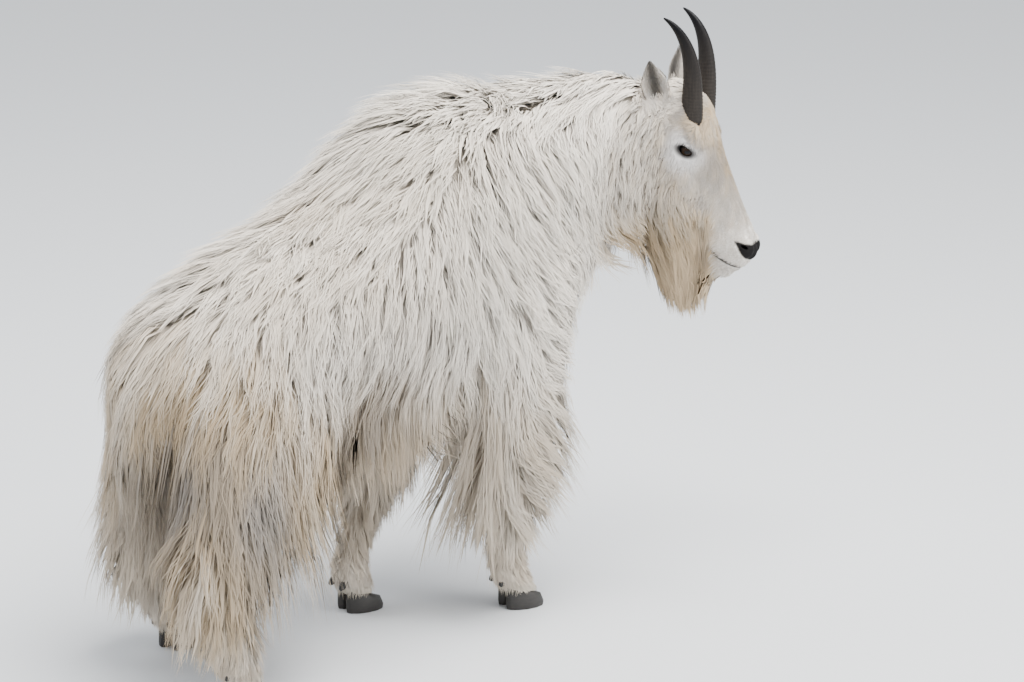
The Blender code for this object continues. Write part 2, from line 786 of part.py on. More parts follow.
def leg_flow(name):
    def choose(kind, point):
        def flow(at, out):
            outward = Vector((out.x, out.y, 0.0))
            back = 0.35 if "hind" in name else 0.12
            return Vector((0.0, back, -1.0)) + outward * 0.18
        return flow
    return choose


def head_frame(point):
    offset = point - HEAD_AT
    return offset.dot(HEAD_FORWARD), offset.dot(HEAD_RIGHT), offset.z


def ruff_kind(point, normal):
    ahead, out, rise = head_frame(point)
    if rise > -0.045 or ahead > 0.050 + max(0.0, -rise - 0.20) * 0.2:
        return None
    if normal.dot(HEAD_FORWARD) > 0.75:
        return None
    return "ruff"


def ruff_flow(at, out):
    ahead, side, rise = head_frame(at)
    if rise > -0.130:
        return Vector((0.0, 0.0, -1.0)) - HEAD_FORWARD * 0.30
    toward = (-0.004 - ahead) * 3.2
    return Vector((0.0, 0.0, -1.0)) + HEAD_FORWARD * toward - HEAD_RIGHT * side * 3.5


def face_block(point):
    ahead, side, rise = head_frame(point)
    return rise > -0.01 or ahead > 0.085 or rise < -0.372


def carve_mouth(head, scratch):
    bm = bmesh.new()
    line = ((0.212, -0.040), (0.232, -0.048), (0.254, -0.049), (0.276, -0.041), (0.300, -0.024))
    half = 0.0014
    rows = []
    for along, up in line:
        rows.append([bm.verts.new(head_point(along, out, up + lift))
                     for out, lift in ((-0.07, -half), (0.07, -half), (0.07, half), (-0.07, half))])
    for lower, upper in zip(rows, rows[1:]):
        for step in range(4):
            after = (step + 1) % 4
            bm.faces.new((lower[step], lower[after], upper[after], upper[step]))
    bm.faces.new(rows[0])
    bm.faces.new(rows[-1])
    groove = object_from(bm, "mouth_line", scratch)
    core = head_form(scratch, 0.007)
    combine(groove, core, "DIFFERENCE")
    discard(core)
    combine(head, groove, "DIFFERENCE", "MANIFOLD")
    discard(groove)
    for side in (1.0, -1.0):
        at = head_point(0.266, side * 0.0200, 0.008)
        frame = face_frame(side) @ Matrix.Rotation(math.radians(38.0), 3, "Z")
        nostril = ball(at, (0.0110, 0.0060, 0.0085), "nostril", scratch, frame, 8, 6)
        combine(head, nostril, "DIFFERENCE", "MANIFOLD")
        discard(nostril)


def tail_block(point):
    return abs(point.x) < 0.056 and point.y > 0.350 and 0.46 < point.z < 0.625


def grow_locks(node, name, surface, kind_of, planes_of, flow_of, blocks, tries):
    rng = random.Random(LOCK_SEEDS[name])
    tree = tree_of(surface)
    taken = []
    made = []
    locks = new_collection(name + "_locks")
    roots = root_points(surface, tries, rng)
    roots.sort(key=lambda root: -root[0].z - 0.03 * math.sin(root[0].y * 41.0 + root[0].x * 67.0))
    for point, normal in roots:
        kind = kind_of(point, normal)
        if kind is None:
            continue
        spacing, length, width, thick, lift = LOCKS[kind]
        planes = planes_of(point)
        if not inside(point, planes, 0.010) or any(block(point) for block in blocks):
            continue
        if any((point - other).length < spacing for other in taken):
            continue
        flow = turned(flow_of(kind, point), math.radians(rng.uniform(-13.0, 13.0)))
        length *= rng.uniform(0.85, 1.18)
        width *= rng.uniform(0.85, 1.12)
        lift *= rng.uniform(0.75, 1.2)
        path, normals = lay_path(point, normal, length, lift, flow, tree, planes, blocks)
        sway = rng.uniform(-0.008, 0.008)
        lock = lock_mesh(path, normals, width, thick, planes, sway,
                         name + "_lock_%03d" % len(made), locks)
        if lock is None:
            continue
        taken.append(point)
        made.append(lock)
    fuse = node.modifiers.new("fuse", "BOOLEAN")
    fuse.operation = "UNION"
    fuse.solver = "MANIFOLD"
    fuse.operand_type = "COLLECTION"
    fuse.collection = locks
    apply_modifiers(node)
    for lock in made:
        discard(lock)
    bpy.data.collections.remove(locks)
    keep_largest(node)


def tail_lock(across, step, grow, collection):
    along = Vector((0.0, 0.74, -0.90)).normalized()
    out = Vector((0.0, 0.90, 0.74)).normalized()
    length = TAIL_LENGTH * (0.98, 0.92, 1.12)[step]
    points = []
    normals = []
    for place in range(12):
        share = place / 11.0
        lift = 0.012 + 0.007 * math.sin(math.pi * min(1.0, share * 1.2)) + 0.003 * step
        if share == 0.0:
            lift = 0.008
        reach = 0.034 - grow * 2.0 + (length + grow * 10.0) * share
        points.append(TAIL_ROOT + along * reach + out * lift
                      + Vector((across * (1.0 - 0.25 * share), 0.0, 0.0)))
        normals.append(out)
    return lock_mesh(points, normals, 0.034 + grow * 5.0, 0.010 + grow * 5.0, [], 0.002,
                     "tail_lock", collection)


def part_nodes(body, goat, scratch):
    cells = {
        "neck": [NECK_CUT, (HEAD_CUT[0], -HEAD_CUT[1])],
    }
    for foot in FEET:
        cells["leg_" + foot] = leg_cell("leg_" + foot)
    nodes = {}
    torso = copy_of(body, "torso", goat)
    for name, planes in cells.items():
        inner = cell_block(planes, GAP * 0.5, name + "_cell", scratch)
        node = copy_of(body, name, goat)
        combine(node, inner, "INTERSECT")
        discard(inner)
        keep_largest(node)
        nodes[name] = node
    for planes in [[NECK_CUT]] + [leg_cell("leg_" + foot) for foot in FEET]:
        outer = cell_block(planes, -GAP * 0.5, "torso_cut", scratch)
        combine(torso, outer, "DIFFERENCE")
        discard(outer)
    keep_largest(torso)
    nodes["torso"] = torso
    return nodes


def build():
    clear_scene()
    goat = new_collection("mountain_goat")
    scratch = new_collection("mountain_goat_cutters")
    coat = new_material("coat", SKIN_TONE, 0.85)
    horn_stuff = new_material("horn", HORN_TONE, 0.45)
    hoof_stuff = new_material("hoof", HOOF_TONE, 0.5)
    eye_stuff = new_material("eye", EYE_TONE, 0.08)

    body = fused_body(CORE_REACH, scratch)
    nodes = part_nodes(body, goat, scratch)

    grow_locks(nodes["torso"], "torso", body, torso_kind, torso_planes,
               lambda kind, point: coat_flow(kind), [tail_block], 6000)
    cells = {
        "neck": [NECK_CUT, (HEAD_CUT[0], -HEAD_CUT[1])],
    }
    for foot in FEET:
        cells["leg_" + foot] = leg_cell("leg_" + foot)
    for name, planes in cells.items():
        if name == "neck":
            kind_of = lambda point, normal: "crest" if normal.z > 0.7 else "neck"
            flow_of = lambda kind, point: coat_flow(kind)
        else:
            kind_of = leg_kind
            flow_of = leg_flow(name)
        grow_locks(nodes[name], name, body, kind_of, lambda point, planes=planes: planes,
                   flow_of, [], 9000)

    head = copy_of(body, "head", goat)
    nodes["head"] = head
    discard(body)
    for form in (head_form(scratch), ruff_form(CORE_REACH, scratch)):
        combine(head, form, "UNION", "MANIFOLD")
        discard(form)
    cell = cell_block([HEAD_CUT, NECK_CUT], GAP * 0.5, "head_cell", scratch)
    combine(head, cell, "INTERSECT", "MANIFOLD")
    discard(cell)
    keep_largest(head)
    bare = copy_of(head, "head_bare", scratch)
    grow_locks(head, "head", bare, ruff_kind, lambda point: [HEAD_CUT],
               lambda kind, point: ruff_flow, [face_block], 9000)
    discard(bare)
    carve_mouth(head, scratch)

    for label, side in (("right", 1.0), ("left", -1.0)):
        at = head_point(EYE_ALONG, side * EYE_OUT, EYE_UP)
        size = EYE_RADIUS + GAP
        lid = ball(at, (EYE_RADIUS + LID,) * 3, "lid", scratch)
        combine(nodes["head"], lid, "UNION", "MANIFOLD")
        discard(lid)
        opening = head_point(EYE_ALONG, side * (EYE_OUT + EYE_RADIUS), EYE_UP)
        slant = face_frame(side) @ Matrix.Rotation(math.radians(-28.0), 3, "X")
        almond = ball(opening, (0.012, LID_HALF_HEIGHT, LID_HALF_LENGTH), "almond", scratch, slant,
                      10, 6)
        combine(nodes["head"], almond, "DIFFERENCE", "MANIFOLD")
        discard(almond)
        socket = ball(at, (size, size, size), "socket", scratch)
        combine(nodes["head"], socket, "DIFFERENCE", "MANIFOLD")
        discard(socket)
        nodes["eye_" + label] = ball(at, (EYE_RADIUS,) * 3, "eye_" + label, goat)
        grown = horn(side, GAP, "horn_cut", scratch)
        combine(nodes["head"], grown, "DIFFERENCE", "MANIFOLD")
        discard(grown)
        nodes["horn_" + label] = horn(side, 0.0, "horn_" + label, goat)
        grown = ear(side, GAP, "ear_cut", scratch)
        combine(nodes["head"], grown, "DIFFERENCE", "MANIFOLD")
        discard(grown)
        nodes["ear_" + label] = ear(side, 0.0, "ear_" + label, goat)
    keep_largest(nodes["head"])

    grown = tail(CORE_REACH, GAP, "tail_cut", scratch)
    combine(nodes["torso"], grown, "DIFFERENCE")
    discard(grown)
    nodes["tail"] = tail(CORE_REACH, 0.0, "tail", goat)
    for step, across in enumerate((-0.017, 0.017, 0.0)):
        grown = tail_lock(across, step, GAP, scratch)
        combine(nodes["torso"], grown, "DIFFERENCE", "MANIFOLD")
        discard(grown)
        lock = tail_lock(across, step, 0.0, scratch)
        combine(nodes["tail"], lock, "UNION")
        discard(lock)
    keep_largest(nodes["torso"])

    for foot in FEET:
        leg = nodes["leg_" + foot]
        for label, side in (("outer", 1.0), ("inner", -1.0)):
            if "left" in foot:
                side = -side
            spur = dewclaw(foot, side, "dewclaw", scratch)
            combine(leg, spur, "UNION")
            discard(spur)
            grown = claw(foot, side, GAP, "claw_cut", scratch)
            combine(leg, grown, "DIFFERENCE")
            discard(grown)
            name = "hoof_" + foot + "_" + label
            nodes[name] = claw(foot, side, 0.0, name, goat)
        keep_largest(leg)

    for name, node in nodes.items():
        node.data.materials.clear()
        stuff = coat
        if name.startswith("hoof"):
            stuff = hoof_stuff
        elif name.startswith("horn"):
            stuff = horn_stuff
        elif name.startswith("eye"):
            stuff = eye_stuff
        node.data.materials.append(stuff)
        node.data.transform(Matrix.Translation(ORIGIN_SHIFT))
        node.data.validate()


build()
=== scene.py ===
import math

import bmesh
import bpy
import numpy as np
from mathutils import Matrix, Vector
from mathutils.bvhtree import BVHTree
from mathutils.kdtree import KDTree


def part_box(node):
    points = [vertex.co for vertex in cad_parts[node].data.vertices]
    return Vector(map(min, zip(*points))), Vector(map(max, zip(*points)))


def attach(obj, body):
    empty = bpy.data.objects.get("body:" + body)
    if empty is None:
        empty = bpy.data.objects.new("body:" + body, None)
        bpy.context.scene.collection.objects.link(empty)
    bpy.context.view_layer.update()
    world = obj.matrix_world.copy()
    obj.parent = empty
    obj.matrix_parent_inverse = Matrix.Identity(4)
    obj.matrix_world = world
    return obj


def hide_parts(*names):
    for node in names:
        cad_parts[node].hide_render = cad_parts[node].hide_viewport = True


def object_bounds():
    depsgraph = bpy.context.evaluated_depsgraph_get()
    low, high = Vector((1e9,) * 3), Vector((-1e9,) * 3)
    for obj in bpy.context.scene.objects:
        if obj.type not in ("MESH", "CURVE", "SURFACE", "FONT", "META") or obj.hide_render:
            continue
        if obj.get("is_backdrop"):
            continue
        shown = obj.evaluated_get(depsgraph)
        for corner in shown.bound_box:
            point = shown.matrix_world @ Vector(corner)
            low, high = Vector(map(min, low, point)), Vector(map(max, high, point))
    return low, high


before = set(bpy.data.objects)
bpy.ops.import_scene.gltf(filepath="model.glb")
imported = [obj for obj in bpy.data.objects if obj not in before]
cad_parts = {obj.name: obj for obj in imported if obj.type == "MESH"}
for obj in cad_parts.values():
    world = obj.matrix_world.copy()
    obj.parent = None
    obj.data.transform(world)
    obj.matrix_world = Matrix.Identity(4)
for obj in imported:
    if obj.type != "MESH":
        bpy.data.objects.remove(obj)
cad_low, cad_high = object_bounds()

# The skin: one closed surface of torso, neck, head, ears, tail and legs, worked out from the goat's
# own stations and fused, so that no seam shows. It lies under the coat, and the coat grows from it.
# Its places are in the goat's own frame, with the brow at HEAD_AT, and the frame gives the shift.
SIDEWAYS = Vector((1.0, 0.0, 0.0))
BACKWARDS = Vector((0.0, 1.0, 0.0))
UPWARDS = Vector((0.0, 0.0, 1.0))
HEAD_AT = Vector((-0.160, -0.700, 0.850))
HEAD_HEADING = math.radians(64.0)
FACE_HANG = math.radians(62.0)
HEAD_FORWARD = Vector((-math.sin(HEAD_HEADING), -math.cos(HEAD_HEADING), 0.0))
HEAD_RIGHT = HEAD_FORWARD.cross(UPWARDS)
FACE_AXIS = (HEAD_FORWARD * math.cos(FACE_HANG) - UPWARDS * math.sin(FACE_HANG)).normalized()
FACE_UP = (HEAD_FORWARD * math.sin(FACE_HANG) + UPWARDS * math.cos(FACE_HANG)).normalized()
# Eyes: distance down the face, height off its axis, distance out, and the lids round them.
EYE_ALONG = 0.052
EYE_UP = 0.004
EYE_OUT = 0.0445
EYE_RADIUS = 0.0155
LID = 0.0026
LID_HALF_LENGTH = 0.0146
LID_HALF_HEIGHT = 0.0080
LID_SLANT = math.radians(-56.0)
EYE_GAP = 0.0003
# The share of the coat's depth that the skin takes in, and the cells in which the forms are fused.
SKIN_REACH = 0.24
BODY_VOXEL = 0.0075
HEAD_VOXEL = 0.0023
OUTER_VOXEL = 0.012

# Torso: y, top and bottom of the flesh, half width, coat on top, below and at the side.
TORSO = (
    (-0.485, 0.690, 0.560, 0.060, 0.050, 0.040, 0.040),
    (-0.445, 0.790, 0.475, 0.105, 0.065, 0.060, 0.055),
    (-0.370, 0.880, 0.440, 0.130, 0.080, 0.075, 0.065),
    (-0.280, 0.900, 0.430, 0.142, 0.072, 0.085, 0.068),
    (-0.190, 0.888, 0.430, 0.152, 0.070, 0.090, 0.068),
    (-0.110, 0.845, 0.430, 0.160, 0.068, 0.095, 0.066),
    (-0.020, 0.778, 0.430, 0.164, 0.062, 0.100, 0.064),
    (0.070, 0.732, 0.430, 0.162, 0.058, 0.095, 0.062),
    (0.150, 0.705, 0.440, 0.152, 0.054, 0.080, 0.060),
    (0.230, 0.680, 0.450, 0.140, 0.050, 0.070, 0.060),
    (0.310, 0.640, 0.460, 0.122, 0.046, 0.060, 0.058),
    (0.370, 0.595, 0.480, 0.096, 0.042, 0.050, 0.052),
    (0.405, 0.550, 0.500, 0.056, 0.038, 0.045, 0.048),
)
# Neck: centre x, y, z, half width, flesh above and below, coat above, below and at the side.
NECK = (
    (0.000, -0.330, 0.700, 0.120, 0.185, 0.190, 0.075, 0.060, 0.070),
    (-0.006, -0.410, 0.735, 0.112, 0.155, 0.185, 0.072, 0.065, 0.070),
    (-0.022, -0.490, 0.770, 0.100, 0.125, 0.165, 0.070, 0.070, 0.068),
    (-0.050, -0.555, 0.800, 0.088, 0.100, 0.140, 0.062, 0.075, 0.060),
    (-0.088, -0.615, 0.828, 0.074, 0.084, 0.110, 0.060, 0.060, 0.045),
    (-0.120, -0.650, 0.845, 0.062, 0.062, 0.080, 0.045, 0.035, 0.030),
)
# Legs: height, centre x and y, half width, reach to the front and back, coat.
FRONT_RIGHT = (
    (0.640, -0.100, -0.350, 0.050, 0.075, 0.080, 0.050),
    (0.540, -0.118, -0.335, 0.052, 0.075, 0.090, 0.055),
    (0.450, -0.125, -0.322, 0.044, 0.056, 0.066, 0.070),
    (0.360, -0.125, -0.315, 0.035, 0.044, 0.048, 0.076),
    (0.280, -0.125, -0.312, 0.029, 0.034, 0.034, 0.068),
    (0.225, -0.125, -0.310, 0.030, 0.034, 0.031, 0.046),
    (0.175, -0.125, -0.308, 0.023, 0.024, 0.026, 0.022),
    (0.120, -0.125, -0.306, 0.021, 0.022, 0.025, 0.012),
    (0.080, -0.125, -0.310, 0.028, 0.027, 0.031, 0.007),
    (0.050, -0.125, -0.322, 0.029, 0.029, 0.027, 0.005),
    (0.030, -0.125, -0.332, 0.030, 0.030, 0.028, 0.003),
)
FRONT_LEFT = (
    (0.640, 0.100, -0.320, 0.050, 0.075, 0.080, 0.050),
    (0.540, 0.118, -0.300, 0.052, 0.075, 0.090, 0.055),
    (0.450, 0.120, -0.270, 0.044, 0.056, 0.066, 0.070),
    (0.360, 0.110, -0.235, 0.035, 0.044, 0.048, 0.074),
    (0.285, 0.098, -0.200, 0.029, 0.034, 0.034, 0.062),
    (0.230, 0.088, -0.172, 0.030, 0.034, 0.031, 0.034),
    (0.175, 0.078, -0.142, 0.023, 0.024, 0.026, 0.020),
    (0.120, 0.066, -0.110, 0.021, 0.022, 0.025, 0.012),
    (0.080, 0.058, -0.092, 0.028, 0.027, 0.031, 0.007),
    (0.050, 0.055, -0.096, 0.029, 0.029, 0.027, 0.005),
    (0.030, 0.055, -0.104, 0.030, 0.030, 0.028, 0.003),
)
HIND_RIGHT = (
    (0.600, -0.076, 0.235, 0.050, 0.100, 0.085, 0.045),
    (0.520, -0.098, 0.240, 0.064, 0.125, 0.120, 0.052),
    (0.430, -0.122, 0.256, 0.060, 0.110, 0.118, 0.064),
    (0.350, -0.142, 0.290, 0.046, 0.080, 0.084, 0.076),
    (0.280, -0.156, 0.342, 0.034, 0.050, 0.054, 0.076),
    (0.228, -0.160, 0.382, 0.029, 0.033, 0.044, 0.062),
    (0.180, -0.164, 0.379, 0.024, 0.025, 0.030, 0.042),
    (0.125, -0.168, 0.362, 0.021, 0.022, 0.025, 0.020),
    (0.080, -0.170, 0.348, 0.028, 0.027, 0.031, 0.010),
    (0.050, -0.170, 0.336, 0.029, 0.029, 0.027, 0.005),
    (0.030, -0.170, 0.326, 0.030, 0.030, 0.028, 0.003),
)
HIND_LEFT_AHEAD = 0.060
HIND_LEFT_OUT = 0.050
HIND_LEFT_SLACK = 0.016
# Head along the face: distance, half width, front line, jaw line.
HEAD = (
    (-0.070, 0.036, 0.024, -0.070),
    (-0.050, 0.052, 0.044, -0.100),
    (-0.020, 0.062, 0.058, -0.118),
    (0.010, 0.066, 0.060, -0.124),
    (0.035, 0.065, 0.055, -0.122),
    (0.065, 0.060, 0.047, -0.116),
    (0.095, 0.046, 0.0425, -0.106),
    (0.130, 0.036, 0.0395, -0.094),
    (0.165, 0.031, 0.0360, -0.082),
    (0.200, 0.032, 0.0330, -0.074),
    (0.232, 0.036, 0.0310, -0.070),
    (0.256, 0.033, 0.0260, -0.066),
    (0.274, 0.026, 0.0140, -0.060),
    (0.286, 0.015, -0.006, -0.048),
)
# Ruff and beard: height under the brow, back and front edge, half width.
RUFF = (
    (-0.035, -0.060, 0.030, 0.050),
    (-0.090, -0.085, 0.060, 0.062),
    (-0.150, -0.098, 0.080, 0.064),
    (-0.205, -0.094, 0.082, 0.058),
    (-0.255, -0.070, 0.062, 0.046),
    (-0.305, -0.044, 0.045, 0.032),
    (-0.345, -0.024, 0.022, 0.018),
    (-0.372, -0.010, 0.006, 0.006),
)
SKIN_RUFF_SHARE = 0.76
SKIN_RUFF_LOWEST = -0.318
EAR_LENGTH = 0.108
EAR_WIDTH = 0.046
EAR_STEPS = 24
EAR_ARC = 16
TAIL_ROOT = Vector((0.0, 0.368, 0.602))
TAIL_LENGTH = 0.100
# Tail: share of its length, half width, depth.
TAIL = ((-0.25, 0.018, 0.014), (0.1, 0.022, 0.016), (0.4, 0.020, 0.014), (0.75, 0.014, 0.010),
        (0.95, 0.006, 0.005))
# Swellings of the face: distance, out and up of the middle, then reach out, along and up.
PAIRED_SWELLINGS = (
    (0.030, 0.040, 0.026, 0.016, 0.034, 0.017),
    (0.085, 0.036, -0.030, 0.018, 0.055, 0.024),
    (0.256, 0.0175, 0.010, 0.0145, 0.022, 0.0180),
    (0.250, 0.014, -0.056, 0.017, 0.036, 0.0165),
    (0.262, 0.012, -0.010, 0.017, 0.026, 0.0165),
)
MIDDLE_SWELLINGS = (
    (0.270, 0.0, -0.050, 0.018, 0.025, 0.0200),
    (0.264, 0.0, 0.006, 0.017, 0.020, 0.0190),
)
# Mouth: distance and height of the line between the lips.
MOUTH_LINE = ((0.230, -0.0495), (0.243, -0.0440), (0.263, -0.0335), (0.282, -0.0215),
              (0.296, -0.0105), (0.320, 0.002))


def head_point(along, out, up):
    return HEAD_AT + FACE_AXIS * along + HEAD_RIGHT * out + FACE_UP * up


eye_low, eye_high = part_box("eye_right")
FRAME_SHIFT = (Vector(eye_low) + Vector(eye_high)) * 0.5 - head_point(EYE_ALONG, EYE_OUT, EYE_UP)


def select_only(piece):
    bpy.ops.object.select_all(action="DESELECT")
    piece.select_set(True)
    bpy.context.view_layer.objects.active = piece


def apply_all(piece):
    select_only(piece)
    for name in [modifier.name for modifier in piece.modifiers]:
        bpy.ops.object.modifier_apply(modifier=name)


def piece_from(points, faces, name):
    mesh = bpy.data.meshes.new(name)
    mesh.from_pydata([tuple(point) for point in points], [], faces)
    piece = bpy.data.objects.new(name, mesh)
    bpy.context.scene.collection.objects.link(piece)
    return piece


def finer(rows, count):
    """More rows on a smooth curve through the rows."""
    rows = np.array(rows)
    last = len(rows) - 1
    made = []
    for place in np.linspace(0.0, last, count):
        step = min(int(place), last - 1)
        share = place - step
        a = rows[max(step - 1, 0)]
        b = rows[step]
        c = rows[step + 1]
        d = rows[min(step + 2, last)]
        made.append(0.5 * (2.0 * b + (c - a) * share + (2.0 * a - 5.0 * b + 4.0 * c - d) * share ** 2
                           + (3.0 * b - a - 3.0 * c + d) * share ** 3))
    return made


def oval(centre, side, up, half_width, above, below, count, power=2.1):
    ring = []
    for step in range(count):
        angle = 2.0 * math.pi * step / count
        c = math.cos(angle)
        s = math.sin(angle)
        across = math.copysign(abs(c) ** (2.0 / power), c) * half_width
        rise = math.copysign(abs(s) ** (2.0 / power), s) * (above if s >= 0.0 else below)
        ring.append(centre + side * across + up * rise)
    return ring


def closed_loft(rings, name):
    count = len(rings[0])
    points = [point for ring in rings for point in ring]
    faces = []
    for row in range(len(rings) - 1):
        for step in range(count):
            after = (step + 1) % count
            faces.append((row * count + step, row * count + after,
                          (row + 1) * count + after, (row + 1) * count + step))
    faces.append(tuple(range(count))[::-1])
    faces.append(tuple(range((len(rings) - 1) * count, len(rings) * count)))
    piece = piece_from(points, faces, name)
    bm = bmesh.new()
    bm.from_mesh(piece.data)
    bmesh.ops.recalc_face_normals(bm, faces=bm.faces)
    bm.to_mesh(piece.data)
    bm.free()
    return piece


def shrunk(ring, offset, share=0.45):
    centre = sum(ring, Vector()) / len(ring)
    return [centre + (point - centre) * share + offset for point in ring]


def torso_form(reach):
    rings = []
    for y, top, bottom, half, coat_top, coat_below, coat_side in finer(TORSO, 44):
        middle = bottom + (top - bottom) * 0.48
        rings.append(oval(Vector((0.0, y, middle)), SIDEWAYS, UPWARDS, half + coat_side * reach,
                          top - middle + coat_top * reach, middle - bottom + coat_below * reach,
                          count=44, power=2.05))
    rings.insert(0, shrunk(rings[0], BACKWARDS * (-0.02 - TORSO[0][6] * reach * 0.5)))
    rings.append(shrunk(rings[-1], BACKWARDS * (0.015 + TORSO[-1][6] * reach * 0.8)))
    return closed_loft(rings, "torso_form")


def neck_form(reach):
    rows = finer(NECK, 20)
    centres = [Vector(row[:3]) for row in rows]
    rings = []
    for index, row in enumerate(rows):
        along = (centres[min(index + 1, len(rows) - 1)] - centres[max(index - 1, 0)]).normalized()
        side = along.cross(UPWARDS).normalized()
        up = side.cross(along).normalized()
        half, above, below, coat_above, coat_below, coat_side = row[3:]
        rings.append(oval(centres[index], side, up, half + coat_side * reach,
                          above + coat_above * reach, below + coat_below * reach, count=36, power=2.15))
    rings.append(shrunk(rings[-1], along * 0.045, 0.75))
    return closed_loft(rings, "neck_form")


def leg_form(stations, reach):
    rings = []
    for z, x, y, half, fore, back, coat in finer(stations, 44):
        rings.append(oval(Vector((x, y, z)), SIDEWAYS, BACKWARDS, half + coat * reach,
                          back + coat * reach, fore + coat * reach, count=28))
    return closed_loft(rings, "leg_form")


def hind_left():
    rows = []
    for z, x, y, *sizes in HIND_RIGHT:
        swing = max(0.0, min(1.0, (0.55 - z) / 0.35))
        rows.append((z, -x - swing * HIND_LEFT_OUT,
                     y - HIND_LEFT_AHEAD * swing - HIND_LEFT_SLACK * swing, *sizes))
    return tuple(rows)


LEGS = {
    "front_right": FRONT_RIGHT,
    "front_left": FRONT_LEFT,
    "hind_right": HIND_RIGHT,
    "hind_left": hind_left(),
}


def tail_form(reach):
    tip = TAIL_ROOT + Vector((0.0, TAIL_LENGTH * 0.74, -TAIL_LENGTH * 0.90))
    up = SIDEWAYS.cross((tip - TAIL_ROOT).normalized()).normalized()
    rings = []
    for share, half, deep in TAIL:
        coat = 0.016 * reach * (1.0 - 0.4 * share)
        rings.append(oval(TAIL_ROOT.lerp(tip, share), SIDEWAYS, up, half * 0.7 + coat,
                          deep * 0.7 + coat, deep * 0.7 + coat, count=16, power=2.0))
    return closed_loft(rings, "tail_form")


def head_form():
    rings = []
    for along, half, front, jaw in finer(HEAD, 60):
        middle = (front + jaw) * 0.5
        rings.append(oval(head_point(along, 0.0, middle), HEAD_RIGHT, FACE_UP, half, front - middle,
                          middle - jaw, count=44, power=2.2))
    rings.append(shrunk(rings[-1], FACE_AXIS * 0.004, 0.6))
    return closed_loft(rings, "head_form")


def ruff_form(share, lowest):
    rings = []
    for height, back, front, half in finer(RUFF, 24):
        if height < lowest:
            break
        middle = (back + front) * 0.5
        deep = (front - back) * 0.5 * share
        taper = min(1.0, 0.25 + (height - lowest) / 0.05) if lowest > -0.3 else 1.0
        centre = HEAD_AT + HEAD_FORWARD * middle + UPWARDS * height
        rings.append(oval(centre, HEAD_RIGHT, HEAD_FORWARD, half * share * taper, deep * taper,
                          deep * taper, count=32, power=2.0))
    return closed_loft(rings, "ruff_form")


def ear_axes(side):
    root = head_point(-0.030, side * 0.050, -0.008)
    along = (UPWARDS * 0.93 + HEAD_RIGHT * side * 0.34 - HEAD_FORWARD * 0.10).normalized()
    open_to = HEAD_RIGHT * side * 0.88 + HEAD_FORWARD * 0.42
    open_to = (open_to - along * open_to.dot(along)).normalized()
    return root, along, open_to, along.cross(open_to).normalized()


def ear_form(side):
    root, along, open_to, across = ear_axes(side)
    rings = []
    for step in range(EAR_STEPS + 1):
        share = step / EAR_STEPS
        width = EAR_WIDTH * 0.5 * (0.42 + 2.3 * share * (1.0 - share) + 0.06 * (1.0 - share))
        if share > 0.55:
            width *= 1.0 - ((share - 0.55) / 0.45) ** 1.6 * 0.86
        deep = width * (0.95 - 0.45 * share)
        hollow = max(0.0, math.sin(math.pi * min(1.0, max(0.0, (share - 0.12) / 0.86)))) * 0.72
        at = root + along * (EAR_LENGTH * share * 0.985 - (0.02 if step == 0 else 0.0))
        ring = []
        for k in range(EAR_ARC + 1):
            angle = math.pi * k / EAR_ARC
            ring.append(at + across * math.cos(angle) * width - open_to * math.sin(angle) * deep)
        for k in range(1, EAR_ARC):
            angle = math.pi * (1.0 - k / EAR_ARC)
            ring.append(at + across * math.cos(angle) * (width - 0.003 * hollow)
                        - open_to * (math.sin(angle) * max(0.0, deep - 0.0050) * hollow - 0.001))
        rings.append(ring)
    return closed_loft(rings, "ear_form")


def ball(centre, radii, turn=None, segments=32):
    bpy.ops.mesh.primitive_uv_sphere_add(segments=segments, ring_count=segments // 2, radius=1.0)
    piece = bpy.context.active_object
    matrix = Matrix.Diagonal((*radii, 1.0))
    if turn is not None:
        matrix = turn.to_4x4() @ matrix
    piece.data.transform(Matrix.Translation(centre) @ matrix)
    return piece


def joined(pieces, name):
    bpy.ops.object.select_all(action="DESELECT")
    for piece in pieces:
        piece.select_set(True)
    bpy.context.view_layer.objects.active = pieces[0]
    bpy.ops.object.join()
    pieces[0].name = name
    return pieces[0]


def remeshed(pieces, name, voxel, smooth):
    piece = joined(pieces, name)
    fuse = piece.modifiers.new("fuse", "REMESH")
    fuse.mode = "VOXEL"
    fuse.voxel_size = voxel
    soften = piece.modifiers.new("soften", "SMOOTH")
    soften.factor = 0.5
    soften.iterations = smooth
    apply_all(piece)
    return piece


def cut_or_join(piece, other, operation):
    change = piece.modifiers.new("change", "BOOLEAN")
    change.operation = operation
    change.solver = "MANIFOLD"
    change.object = other
    apply_all(piece)
    bpy.data.objects.remove(other, do_unlink=True)


def face_turn(side):
    return Matrix((HEAD_RIGHT * side, FACE_AXIS, FACE_UP)).transposed()


def body_forms(reach):
    return ([torso_form(reach), neck_form(reach), tail_form(reach)]
            + [leg_form(stations, reach) for stations in LEGS.values()])


head_pieces = [head_form(), ruff_form(SKIN_RUFF_SHARE, SKIN_RUFF_LOWEST), ear_form(1.0), ear_form(-1.0)]
for side in (1.0, -1.0):
    for along, out, up, *radii in PAIRED_SWELLINGS:
        head_pieces.append(ball(head_point(along, side * out, up), radii, face_turn(side)))
for along, out, up, *radii in MIDDLE_SWELLINGS:
    head_pieces.append(ball(head_point(along, out, up), radii, face_turn(1.0)))
head_skin = remeshed(head_pieces, "head_skin", HEAD_VOXEL, 5)

